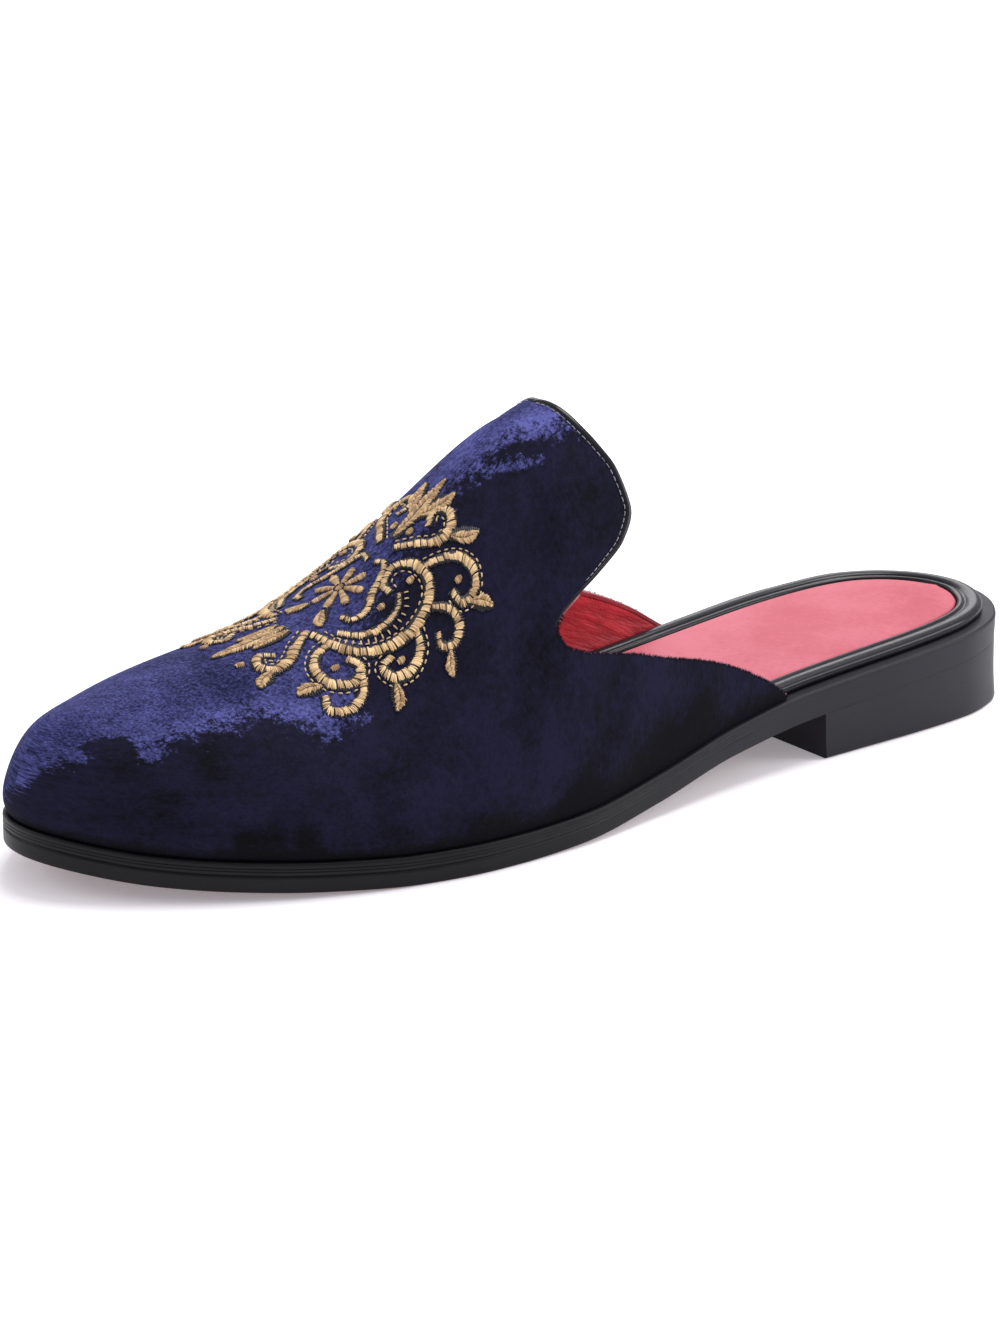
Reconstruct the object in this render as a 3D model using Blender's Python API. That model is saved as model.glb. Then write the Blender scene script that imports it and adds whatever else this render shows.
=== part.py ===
"""Backless velvet slipper loafer, left shoe, in metres.

The toe points to -Y, the outer side of the foot is +X and the floor is z = 0.
The pieces are worked out from the named sizes and from short tables, whose
rows are sections of the last. A station is a share of the length, 0 at the
back of the heel and 1 at the tip of the toe.
"""
from math import cos, exp, pi, sin, sqrt

import bmesh
import bpy
import numpy as np

# Sizes of the last and of the sole
LENGTH = 0.300
BALL_WIDTH = 0.1035
INSTEP_HEIGHT = 0.0850
HEEL_RISE = 0.0180
HEEL_LENGTH = 0.086
TOE_SPRING = 0.0079
TOE_SETBACK = 0.016

# Layers of the sole
OUTSOLE_THICKNESS = 0.0038
WELT_THICKNESS = 0.0029
WELT_LEDGE = 0.0015
EDGE_BEVEL = 0.0006
HEEL_HOLLOW = 0.0011
HEEL_BEVEL = 0.0010

# Footbed
INSOLE_THICKNESS = 0.0027
RIM_WIDTH = 0.0066
SOCK_THICKNESS = 0.0010
SOCK_DEPTH = 0.0004

# Upper and its binding
UPPER_WALL = 0.0020
UPPER_SWELL = 0.0014
TONGUE_BINDING = 0.0020
QUARTER_BINDING = 0.0009

# Room between pieces that meet
CLEARANCE = 0.0003

# How finely the pieces are divided
SOLE_ROWS = 52
HEEL_ROWS = 26
UPPER_ROWS = 26
UPPER_COLUMNS = 26
BINDING_SIDES = 8

OUTER = 1
INNER = -1

# Sole outline: station, outer and inner half widths as shares of the ball width
OUTLINE = (
    (0.00, 0.000, 0.000),
    (0.02, 0.165, 0.172),
    (0.05, 0.248, 0.259),
    (0.10, 0.303, 0.320),
    (0.18, 0.332, 0.328),
    (0.25, 0.346, 0.304),
    (0.32, 0.362, 0.277),
    (0.40, 0.396, 0.262),
    (0.50, 0.456, 0.299),
    (0.60, 0.511, 0.397),
    (0.68, 0.523, 0.465),
    (0.75, 0.500, 0.479),
    (0.82, 0.443, 0.449),
    (0.88, 0.366, 0.375),
    (0.93, 0.277, 0.280),
    (0.97, 0.178, 0.176),
    (1.00, 0.000, 0.000),
)

# Underside of the outsole: station, share of the heel rise, share of the toe spring
UNDERSIDE = (
    (0.00, 1.00, 0.00),
    (0.13, 0.86, 0.00),
    (0.25, 0.73, 0.00),
    (0.32, 0.64, 0.00),
    (0.40, 0.48, 0.00),
    (0.50, 0.19, 0.00),
    (0.58, 0.04, 0.00),
    (0.65, 0.00, 0.00),
    (0.73, 0.00, 0.00),
    (0.80, 0.00, 0.10),
    (0.87, 0.00, 0.27),
    (0.93, 0.00, 0.50),
    (1.00, 0.00, 1.00),
)

# Sections of the last: station, ridge height as a share of the instep height,
# ridge's place as a share of the ball width, fullness of the arch, and the
# swell on the outer and inner sides as multiples of the upper's swell
SECTIONS = (
    (0.28, 1.02, 0.03, 1.85, 0.0, 0.6),
    (0.50, 1.02, 0.03, 1.85, 0.8, 1.6),
    (0.55, 0.98, 0.03, 1.85, 0.9, 1.3),
    (0.60, 0.88, 0.03, 1.85, 1.0, 1.0),
    (0.65, 0.74, 0.03, 1.85, 1.0, 1.0),
    (0.70, 0.61, 0.025, 1.85, 1.0, 1.0),
    (0.76, 0.50, 0.02, 1.90, 1.0, 1.0),
    (0.82, 0.44, 0.015, 2.00, 1.0, 1.0),
    (0.88, 0.39, 0.01, 2.12, 1.0, 1.0),
    (0.94, 0.335, 0.005, 2.24, 1.0, 1.0),
    (1.00, 0.28, 0.00, 2.36, 1.0, 1.0),
)

# Free edge of the upper: share of the way up the side, outer and inner stations
TOPLINE = (
    (0.00, 0.322, 0.290),
    (0.07, 0.356, 0.325),
    (0.16, 0.420, 0.390),
    (0.25, 0.492, 0.465),
    (0.32, 0.556, 0.540),
    (0.37, 0.587, 0.580),
    (0.405, 0.596, 0.595),
    (0.430, 0.586, 0.586),
    (0.445, 0.550, 0.550),
    (0.48, 0.513, 0.513),
    (0.54, 0.498, 0.498),
    (0.62, 0.500, 0.500),
    (0.70, 0.508, 0.508),
    (0.79, 0.516, 0.516),
    (0.88, 0.521, 0.521),
    (1.00, 0.525, 0.525),
)
CORNER = 0.43

# The binding begins this far up the side and widens over this much of the way above the corner
BINDING_START = 0.05
BINDING_WIDENS = 0.15

# The top of a section starts to lean back from the toe at this station
LEAN_START = 0.80

# Share of a section's height at which its side stands out most
SWELL_HEIGHT = 0.25


def clear_scene():
    for thing in list(bpy.data.objects):
        bpy.data.objects.remove(thing, do_unlink=True)


def smooth_curve(table, column):
    """Return a curve through one column of a table, which never overshoots its values."""
    places = np.array([row[0] for row in table])
    values = np.array([row[column] for row in table])
    step = np.diff(places)
    slope = np.diff(values) / step
    tangent = np.concatenate((slope[:1], np.zeros(len(slope) - 1), slope[-1:]))
    for i in range(1, len(slope)):
        if slope[i - 1] * slope[i] > 0:
            tangent[i] = 2 * slope[i - 1] * slope[i] / (slope[i - 1] + slope[i])

    def at(place):
        i = int(np.clip(np.searchsorted(places, place) - 1, 0, len(step) - 1))
        f = (place - places[i]) / step[i]
        g = 1 - f
        ends = g * g * (1 + 2 * f) * values[i] + f * f * (3 - 2 * f) * values[i + 1]
        return ends + step[i] * f * g * (g * tangent[i] - f * tangent[i + 1])

    return at


def squared(table):
    return [(row[0], row[1] ** 2, row[2] ** 2) for row in table]


WIDTH = {OUTER: smooth_curve(squared(OUTLINE), 1), INNER: smooth_curve(squared(OUTLINE), 2)}
HEEL_PART = smooth_curve(UNDERSIDE, 1)
TOE_PART = smooth_curve(UNDERSIDE, 2)
RIDGE_HEIGHT = smooth_curve(SECTIONS, 1)
RIDGE_PLACE = smooth_curve(SECTIONS, 2)
FULLNESS = smooth_curve(SECTIONS, 3)
SWELL = {OUTER: smooth_curve(SECTIONS, 4), INNER: smooth_curve(SECTIONS, 5)}
EDGE_STATION = {OUTER: smooth_curve(TOPLINE, 1), INNER: smooth_curve(TOPLINE, 2)}


def half_width(share, side):
    return BALL_WIDTH * sqrt(max(WIDTH[side](share), 0))


def centre_shift():
    """Shift that puts the middle of the sole's width at x = 0."""
    shares = np.linspace(0, 1, 201)
    widest = {side: max(half_width(share, side) for share in shares) for side in (OUTER, INNER)}
    return (widest[INNER] - widest[OUTER]) / 2


MIDDLE = centre_shift()


def station(q):
    """Station of a place q along the outline, from 0 at the heel to 1 at the toe."""
    return (1 - cos(pi * q)) / 2


def place_of(share):
    return np.arccos(1 - 2 * share) / pi


def share_at(y):
    return min(max(0.5 - y / LENGTH, 0), 1)


def outline_point(q, side):
    share = station(q)
    if q < 0 or q > 1:
        side = -side
    return np.array([MIDDLE + side * half_width(share, side), LENGTH * (0.5 - share)])


def inset_point(q, side, inset):
    """A point of the sole's outline moved inwards, and the outward direction there."""
    nudge = 0.002
    along = outline_point(q + nudge, side) - outline_point(q - nudge, side)
    along /= np.linalg.norm(along)
    outward = np.array([-along[1], along[0]]) * side
    return outline_point(q, side) - outward * inset, outward


def underside(share):
    return HEEL_RISE * HEEL_PART(share) + TOE_SPRING * TOE_PART(share)


def welt_bottom(share):
    return underside(share) + OUTSOLE_THICKNESS + CLEARANCE


def insole_bottom(share):
    return welt_bottom(share) + WELT_THICKNESS + CLEARANCE


def sock_bottom(share):
    return insole_bottom(share) + INSOLE_THICKNESS - SOCK_DEPTH - SOCK_THICKNESS


def material(name, colour, roughness, metallic=0.0):
    finish = bpy.data.materials.new(name)
    finish.use_nodes = True
    shader = finish.node_tree.nodes["Principled BSDF"]
    shader.inputs["Base Color"].default_value = (*colour, 1)
    shader.inputs["Roughness"].default_value = roughness
    shader.inputs["Metallic"].default_value = metallic
    return finish


def piece(name, bm, finish):
    bmesh.ops.recalc_face_normals(bm, faces=bm.faces)
    mesh = bpy.data.meshes.new(name)
    bm.to_mesh(mesh)
    bm.free()
    mesh.shade_smooth()
    mesh.materials.append(finish)
    made = bpy.data.objects.new(name, mesh)
    bpy.context.collection.objects.link(made)
    return made


def grid(columns, rows, place):
    """A grid whose points go where place(column, row) says, with its doubles merged."""
    bm = bmesh.new()
    bmesh.ops.create_grid(bm, x_segments=columns, y_segments=rows, size=1)
    for vert in bm.verts:
        column = round((vert.co.x + 1) / 2 * columns)
        row = round((vert.co.y + 1) / 2 * rows)
        vert.co = place(column, row)
    bmesh.ops.remove_doubles(bm, verts=bm.verts, dist=0.00002)
    return bm


def plate(section, height, rows, last=1.0, front=None):
    """A closed plate with the sole's outline.

    Each row of the section is an inset and a level, from the lower edge up and
    inwards. With a front, the plate ends there in a flat face.
    """
    ring = [(OUTER, *row) for row in section] + [(INNER, *row) for row in reversed(section)]
    ring.append(ring[0])

    def place(column, row):
        side, inset, level = ring[column]
        q = last * row / rows
        (x, y), _ = inset_point(q, side, inset)
        if front is not None:
            y = max(y, front)
            if row == rows:
                y = front
        return x, y, height(share_at(y), level)

    bm = grid(len(ring) - 1, rows, place)
    if front is not None:
        open_edges = [edge for edge in bm.edges if edge.is_boundary]
        bmesh.ops.holes_fill(bm, edges=open_edges, sides=0)
    return bm


def make_outsole():
    bevel = EDGE_BEVEL
    section = (
        (bevel, 0),
        (0, bevel),
        (0, OUTSOLE_THICKNESS - bevel),
        (bevel, OUTSOLE_THICKNESS),
    )
    leather = material("outsole_leather", (0.020, 0.020, 0.024), 0.35)
    bm = plate(section, lambda share, level: underside(share) + level, SOLE_ROWS)
    piece("outsole", bm, leather)


def make_welt():
    bevel = EDGE_BEVEL
    section = (
        (bevel, 0),
        (0, bevel),
        (0, WELT_THICKNESS - bevel),
        (bevel, WELT_THICKNESS),
    )
    leather = material("welt_leather", (0.016, 0.016, 0.019), 0.4)
    bm = plate(section, lambda share, level: welt_bottom(share) + level, SOLE_ROWS)
    piece("welt", bm, leather)


def make_heel():
    """The heel block: level 0 is the floor and level 1 is the outsole's underside."""
    section = (
        (HEEL_BEVEL + CLEARANCE, 0),
        (CLEARANCE, 0.07),
        (HEEL_HOLLOW * 0.7, 0.30),
        (HEEL_HOLLOW, 0.55),
        (HEEL_HOLLOW * 0.7, 0.80),
        (CLEARANCE, 1),
    )

    def height(share, level):
        return level * (underside(share) - CLEARANCE)

    share = HEEL_LENGTH / LENGTH
    leather = material("heel_leather", (0.020, 0.020, 0.024), 0.3)
    bm = plate(section, height, HEEL_ROWS, place_of(share), LENGTH * (0.5 - share))
    piece("heel", bm, leather)


def insole_inset():
    return WELT_LEDGE + UPPER_WALL + CLEARANCE


def make_insole():
    edge = insole_inset()
    inner = edge + RIM_WIDTH
    top = INSOLE_THICKNESS
    floor = top - SOCK_DEPTH - SOCK_THICKNESS - CLEARANCE
    section = (
        (edge + 0.12 * RIM_WIDTH, 0),
        (edge, 0.15 * top),
        (edge, 0.70 * top),
        (edge + 0.10 * RIM_WIDTH, 0.90 * top),
        (edge + 0.35 * RIM_WIDTH, top),
        (edge + 0.75 * RIM_WIDTH, 0.97 * top),
        (inner, 0.90 * top),
        (inner + EDGE_BEVEL / 2, floor),
    )
    leather = material("footbed_leather", (0.013, 0.013, 0.016), 0.3)
    bm = plate(section, lambda share, level: insole_bottom(share) + level, SOLE_ROWS)
    piece("insole", bm, leather)


def make_sock_lining():
    edge = insole_inset() + RIM_WIDTH + EDGE_BEVEL / 2 + CLEARANCE
    section = (
        (edge, 0),
        (edge, SOCK_THICKNESS * 0.7),
        (edge + SOCK_THICKNESS * 0.5, SOCK_THICKNESS),
    )
    leather = material("sock_leather", (0.72, 0.13, 0.17), 0.55)
    bm = plate(section, lambda share, level: sock_bottom(share) + level, SOLE_ROWS)
    piece("sock_lining", bm, leather)


def swell_at(rise):
    """How far the side stands out at a height, from none at the welt to 1 at its most."""
    share = rise / SWELL_HEIGHT
    return share * exp(1 - share) * (1 - rise) / (1 - SWELL_HEIGHT)


def toe_lean(share):
    """How far the top of a section has moved back from the toe."""
    return TOE_SETBACK * (max(share - LEAN_START, 0) / (1 - LEAN_START)) ** 2


def last_point(q, side, way):
    """A point on the upper's outside; way runs from 0 at the welt to 1 at the ridge."""
    share = station(q)
    (edge_x, edge_y), outward = inset_point(q, side, WELT_LEDGE)
    power = 2 / FULLNESS(share)
    rise = sin(way * pi / 2) ** power
    spread = max(cos(way * pi / 2), 0) ** power
    ridge_x = MIDDLE + BALL_WIDTH * RIDGE_PLACE(share)
    ridge_y = LENGTH * (0.5 - share) + toe_lean(share)
    swell = UPPER_SWELL * SWELL[side](share) * swell_at(rise)
    x = ridge_x + (edge_x - ridge_x) * spread + outward[0] * swell
    y = ridge_y + (edge_y - ridge_y) * spread + outward[1] * swell
    z = insole_bottom(share_at(edge_y)) + INSTEP_HEIGHT * RIDGE_HEIGHT(share) * rise
    return np.array([x, y, z])


def edge_place(side, way):
    """Place along the outline at which the upper's free edge crosses a way up the side."""
    return place_of(EDGE_STATION[side](way))


def upper_ways():
    """Ways up the side for the upper's columns, evened out between height and the free edge's length."""
    ways = np.linspace(0, 1, 400)
    edge = [last_point(edge_place(OUTER, way), OUTER, way) for way in ways]
    lengths = np.linalg.norm(np.diff(edge, axis=0), axis=1)
    reach = np.concatenate(([0], np.cumsum(lengths))) / np.sum(lengths)
    return np.interp(np.linspace(0, 2, UPPER_COLUMNS + 1), reach + ways, ways)


def across():
    """Side and way of each column of the upper, from the outer welt over the ridge to the inner."""
    ways = upper_ways()
    return [(OUTER, way) for way in ways] + [(INNER, way) for way in ways[-2::-1]]


def make_upper():
    columns = across()

    def place(column, row):
        side, way = columns[column]
        edge = edge_place(side, way)
        return last_point(edge + (1 - edge) * row / UPPER_ROWS, side, way)

    bm = grid(len(columns) - 1, UPPER_ROWS, place)
    velvet = material("velvet", (0.020, 0.018, 0.070), 0.8)
    upper = piece("upper", bm, velvet)
    wall = upper.modifiers.new("wall", 'SOLIDIFY')
    wall.thickness = UPPER_WALL
    wall.offset = -1
    wall.use_even_offset = True


def topline_frame(side, way):
    """A point of the upper's free edge, its outward normal and the direction off the edge."""
    nudge = 0.004
    edge = edge_place(side, way)
    point = last_point(edge, side, way)
    forward = last_point(edge + nudge, side, way) - point
    over = (side, way + nudge) if way < 1 - nudge else (-side, way - nudge)
    up = last_point(edge, *over) - point
    tangent = last_point(edge_place(*over), *over) - point
    normal = np.cross(up, forward) * side
    normal /= np.linalg.norm(normal)
    off = np.cross(tangent, normal)
    off /= np.linalg.norm(off)
    if np.dot(off, forward) > 0:
        off = -off
    return point, normal, off


def make_binding():
    """The binding: a rounded strip just off the upper's free edge, wider round the tongue."""
    columns = [(side, way) for side, way in across() if way > BINDING_START]

    def place(column, row):
        side, way = columns[row]
        point, normal, off = topline_frame(side, way)
        grow = min(max((way - CORNER) / BINDING_WIDENS, 0), 1)
        width = QUARTER_BINDING + (TONGUE_BINDING - QUARTER_BINDING) * grow
        turn = 2 * pi * column / BINDING_SIDES
        centre = point + off * (CLEARANCE + width / 2) - normal * UPPER_WALL / 2
        return centre + off * cos(turn) * width / 2 + normal * sin(turn) * UPPER_WALL / 2

    bm = grid(BINDING_SIDES, len(columns) - 1, place)
    open_edges = [edge for edge in bm.edges if edge.is_boundary]
    bmesh.ops.holes_fill(bm, edges=open_edges, sides=0)
    piece("topline_binding", bm, material("binding_leather", (0.015, 0.015, 0.018), 0.35))


def main():
    clear_scene()
    make_outsole()
    make_welt()
    make_heel()
    make_insole()
    make_sock_lining()
    make_upper()
    make_binding()


main()
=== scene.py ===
"""Looks of a backless velvet slipper loafer, left shoe, in metres.

The toe points to -Y, the outer side of the foot is +X and the floor is z = 0.
A station is a share of the length, 0 at the back of the heel and 1 at the
tip of the toe. A way is a share of the path up the upper's side, 0 at the
welt and 1 at the ridge.
"""
from math import cos, pi, radians, sin

import bmesh
import bpy
import numpy as np
from mathutils import Matrix, Vector


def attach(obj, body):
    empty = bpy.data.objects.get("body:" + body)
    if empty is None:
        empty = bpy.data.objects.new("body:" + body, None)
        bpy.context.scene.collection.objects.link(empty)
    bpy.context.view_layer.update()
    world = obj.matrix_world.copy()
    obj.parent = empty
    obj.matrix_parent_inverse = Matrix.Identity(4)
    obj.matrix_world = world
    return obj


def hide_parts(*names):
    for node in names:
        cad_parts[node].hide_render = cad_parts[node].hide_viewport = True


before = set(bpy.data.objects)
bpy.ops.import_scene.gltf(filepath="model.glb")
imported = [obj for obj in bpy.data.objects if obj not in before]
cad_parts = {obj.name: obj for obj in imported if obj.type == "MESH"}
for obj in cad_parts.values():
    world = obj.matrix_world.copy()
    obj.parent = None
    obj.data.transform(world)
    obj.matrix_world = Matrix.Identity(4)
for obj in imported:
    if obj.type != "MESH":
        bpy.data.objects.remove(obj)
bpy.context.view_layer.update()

# Sizes of the last and of the sole
LENGTH = 0.300
BALL_WIDTH = 0.1035
INSTEP_HEIGHT = 0.0850
HEEL_RISE = 0.0180
HEEL_LENGTH = 0.086
TOE_SPRING = 0.0079
TOE_SETBACK = 0.016

# Layers of the sole
OUTSOLE_THICKNESS = 0.0041
WELT_THICKNESS = 0.0032
WELT_LEDGE = 0.0015
EDGE_ROUND = 0.0007
SEAM_DEPTH = 0.00032
WELT_LINE_DEPTH = 0.00012
HEEL_HOLLOW = 0.0002
HEEL_FLARE = 0.0004
HEEL_RAKE = 0.0013
HEEL_BEVEL = 0.0010

# Faces whose normal points down more than this get the tread's material
DOWNWARD = -0.75

# Footbed
RIM_THICKNESS = 0.0027
RIM_WIDTH = 0.0066
RIM_GAP = 0.0002
RIM_FOOT = 0.0001
SOCK_THICKNESS = 0.0010
SOCK_DEPTH = 0.0005
SOCK_GAP = 0.0004
SOCK_EDGE_ROUND = 0.0008
SOCK_CROWN = 0.0004
SOCK_LEVEL = RIM_THICKNESS - SOCK_DEPTH - SOCK_THICKNESS

# Share of the outline's length over which inset lines are evened out
SOFTENING = 0.045

# Steps along the outline and up the side over which directions are measured
NUDGE = 0.002
EDGE_NUDGE = 0.003

# Upper: the velvet, the lining behind it and the binding along its edge
UPPER_WALL = 0.0020
VELVET_THICKNESS = 0.0012
LINING_THICKNESS = 0.0007
UPPER_SWELL = 0.0014
FOLD_REACH = 0.0009
LINING_REACH = 0.0003
VELVET_FOLD_ROUND = 0.00045
LINING_FOLD_ROUND = 0.00025
LINING_GAP = 0.00005
BINDING_WIDTH = 0.0023
BINDING_THICKNESS = 0.0024
BINDING_LEAST_WIDTH = 0.0006
BINDING_LEAST_THICKNESS = 0.0012
BINDING_OVERLAP = 0.0002
EDGE_CORD = 0.00026

# Stitches inside the binding and pile that stands past the fold
STITCH_PITCH = 0.0018
STITCH_THREAD = 0.00011
STITCH_INSET = 0.00045
STITCH_LIFT = 0.00012
STITCH_LIFTS = (-STITCH_LIFT, 0.00005, STITCH_LIFT, 0.00005, -STITCH_LIFT)
STITCH_POINTS = (0.02, 0.12, 0.42, 0.72, 0.82)
FUZZ_COUNT = 1700
FUZZ_LENGTHS = (0.0004, 0.0012)
FUZZ_RADII = (0.00009, 0.00007, 0)
FUZZ_DEPTH = 0.0006

# Girth of one side of the upper, from the ridge to the welt, for patterns on the cloth
SIDE_GIRTH = 0.070

# Painted shade along the welt: its blackness at the welt, and the way above which it has faded out
WELT_SHADE = 0.55
WELT_SHADE_ENDS = 0.08

# Beside a crease lies a low ridge: its height as a share of the crease's depth,
# and its distance in half widths of the crease; creases fade out below a way
CREASE_RIDGE = 0.6
CREASE_RIDGE_AWAY = 1.9
CREASES_FADE = 0.12

# Embroidery: its threads, the station of the design's middle and how far the design may reach
THREAD = 0.00021
THREAD_PITCH = 0.00037
BUNDLE = 5
BAND_HEIGHT = 0.00055
BAND_FULLNESS = 1.10
# Radius and lift of the dark threads laid round the gold as painted shadow
PAINTED_SHADOW_THREAD = 0.00034
PAINTED_SHADOW_LIFT = 0.00004
FLAT_LIFT = 0.00022
DESIGN_STATION = 0.705
WRAP_STATIONS = (0.52, 0.90)
WRAP_REACH = 0.050

# Five points of a thread: shares of its length, of its lift and of its radius
THREAD_POINTS = (0.0, 0.16, 0.5, 0.84, 1.0)
THREAD_LIFTS = (-0.25, 0.62, 1.0, 0.62, -0.25)
THREAD_RADII = (0.0, 0.9, 1.0, 0.9, 0.0)

# Rows and columns of the grids that the pieces are made from
SOLE_ROWS = 170
HEEL_ROWS = 80
FOOTBED_ROWS = 150
SOCK_ROWS = 120
SOCK_COLUMNS = 16
UPPER_ROWS = 150
VELVET_COLUMNS = 88
LINING_COLUMNS = 80
BINDING_COLUMNS = 170
EDGE_COLUMNS = 240

OUTER = 1
INNER = -1

# Sole outline: station, outer and inner half widths as shares of the ball width
OUTLINE = (
    (0.00, 0.000, 0.000),
    (0.02, 0.165, 0.172),
    (0.05, 0.248, 0.259),
    (0.10, 0.303, 0.320),
    (0.18, 0.332, 0.328),
    (0.25, 0.346, 0.304),
    (0.32, 0.362, 0.277),
    (0.40, 0.396, 0.262),
    (0.50, 0.456, 0.299),
    (0.60, 0.511, 0.397),
    (0.68, 0.523, 0.465),
    (0.75, 0.500, 0.479),
    (0.82, 0.443, 0.449),
    (0.88, 0.366, 0.375),
    (0.93, 0.277, 0.280),
    (0.97, 0.178, 0.176),
    (1.00, 0.000, 0.000),
)

# Underside of the outsole: station, share of the heel rise, share of the toe spring
UNDERSIDE = (
    (0.00, 1.00, 0.00),
    (0.13, 0.86, 0.00),
    (0.25, 0.73, 0.00),
    (0.32, 0.64, 0.00),
    (0.40, 0.48, 0.00),
    (0.50, 0.19, 0.00),
    (0.58, 0.04, 0.00),
    (0.65, 0.00, 0.00),
    (0.73, 0.00, 0.00),
    (0.80, 0.00, 0.10),
    (0.87, 0.00, 0.27),
    (0.93, 0.00, 0.50),
    (1.00, 0.00, 1.00),
)

# Sections of the last: station, ridge height as a share of the instep height,
# ridge's place as a share of the ball width, fullness of the arch, and the
# swell on the outer and inner sides as multiples of the upper's swell
SECTIONS = (
    (0.28, 1.037, 0.03, 1.85, 0.0, 0.6),
    (0.50, 1.037, 0.03, 1.85, 0.8, 1.6),
    (0.55, 0.997, 0.03, 1.85, 0.9, 1.3),
    (0.60, 0.88, 0.03, 1.85, 1.0, 1.0),
    (0.65, 0.74, 0.03, 1.85, 1.0, 1.0),
    (0.70, 0.61, 0.025, 1.85, 1.0, 1.0),
    (0.76, 0.50, 0.02, 1.90, 1.0, 1.0),
    (0.82, 0.44, 0.015, 2.00, 1.0, 1.0),
    (0.88, 0.39, 0.01, 2.12, 1.0, 1.0),
    (0.94, 0.335, 0.005, 2.24, 1.0, 1.0),
    (1.00, 0.28, 0.00, 2.36, 1.0, 1.0),
)

# Free edge of the upper: share of the way up the side, outer and inner stations
TOPLINE = (
    (0.00, 0.328, 0.297),
    (0.07, 0.365, 0.335),
    (0.16, 0.431, 0.402),
    (0.25, 0.517, 0.490),
    (0.32, 0.575, 0.560),
    (0.37, 0.594, 0.588),
    (0.405, 0.5965, 0.5955),
    (0.430, 0.586, 0.586),
    (0.445, 0.550, 0.550),
    (0.48, 0.513, 0.513),
    (0.54, 0.498, 0.498),
    (0.62, 0.500, 0.500),
    (0.70, 0.508, 0.508),
    (0.79, 0.516, 0.516),
    (0.88, 0.521, 0.521),
    (1.00, 0.525, 0.525),
)

# The way of the throat's corner, where the quarter ends and the tongue starts
CORNER = 0.43

# The velvet's fold fades out between these ways
FOLD_FADES = (CORNER - 0.02, CORNER + 0.02)

# The binding starts at the first of these ways and has its full width at the second
BINDING_START = CORNER - 0.035
BINDING_FULL = CORNER + 0.10

# In the middle of the quarters the lining shows less by this share, between these ways
PEEK_DIP = 0.7
PEEK_DIP_STARTS = (0.1, 0.2)
PEEK_DIP_ENDS = (0.33, 0.38)

# The top of a section starts to lean back from the toe at this station
LEAN_START = 0.80

# Share of a section's height at which its side stands out most
SWELL_HEIGHT = 0.25

# The groove between outsole and welt fades out between these stations
SEAM_FADES = (0.36, 0.44)

# Round the rim of the footbed: inset as a share of its width, level as a share of its thickness
RIM_SECTION = (
    (0.10, 0.00),
    (0.01, 0.22),
    (0.00, 0.55),
    (0.06, 0.88),
    (0.22, 1.07),
    (0.42, 1.10),
    (0.57, 1.00),
    (0.655, 0.82),
    (0.70, 0.78),
    (0.75, 0.86),
    (0.83, 0.97),
    (0.92, 0.95),
    (0.985, 0.78),
    (1.00, 0.50),
)

# Soft creases of the velvet: station, share of the side's girth from the ridge
# (outer side positive), half length, half width, depth, and turn in degrees
CREASES = (
    (0.556, 0.20, 0.022, 0.0040, 0.00040, 62),
    (0.575, 0.30, 0.020, 0.0035, 0.00030, 58),
    (0.600, 0.52, 0.016, 0.0045, 0.00045, 20),
    (0.640, 0.62, 0.020, 0.0050, 0.00040, 35),
    (0.700, 0.80, 0.018, 0.0040, 0.00030, 75),
    (0.780, 0.78, 0.016, 0.0036, 0.00028, 100),
    (0.860, 0.66, 0.016, 0.0038, 0.00030, 115),
    (0.930, 0.45, 0.012, 0.0036, 0.00025, 130),
    (0.560, 0.84, 0.016, 0.0036, 0.00030, 55),
    (0.470, 0.88, 0.014, 0.0032, 0.00028, 40),
    (0.556, -0.22, 0.022, 0.0040, 0.00036, -62),
    (0.610, -0.50, 0.018, 0.0045, 0.00045, -25),
    (0.660, -0.66, 0.020, 0.0050, 0.00040, -40),
    (0.740, -0.80, 0.018, 0.0040, 0.00030, -80),
    (0.850, -0.64, 0.016, 0.0038, 0.00030, -110),
    (0.480, -0.86, 0.014, 0.0034, 0.00028, -40),
)

# Painted sheen, where the nap faces the light: station, then how far the painted
# sheen reaches from the ridge on the outer and inner sides, as shares of the girth
PAINTED_SHEEN = (
    (0.40, 0.22, 0.20),
    (0.525, 0.20, 0.22),
    (0.56, 0.13, 0.20),
    (0.60, 0.085, 0.22),
    (0.64, 0.085, 0.24),
    (0.68, 0.14, 0.28),
    (0.72, 0.24, 0.32),
    (0.75, 0.36, 0.38),
    (0.775, 0.48, 0.42),
    (0.80, 0.48, 0.44),
    (0.83, 0.41, 0.40),
    (0.86, 0.385, 0.36),
    (0.885, 0.42, 0.38),
    (0.905, 0.40, 0.42),
    (0.93, 0.45, 0.46),
    (0.955, 0.41, 0.60),
    (0.97, 0.50, 0.98),
    (0.982, 0.56, 1.06),
    (0.992, 0.61, 1.00),
    (1.00, 0.78, 0.86),
)
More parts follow.
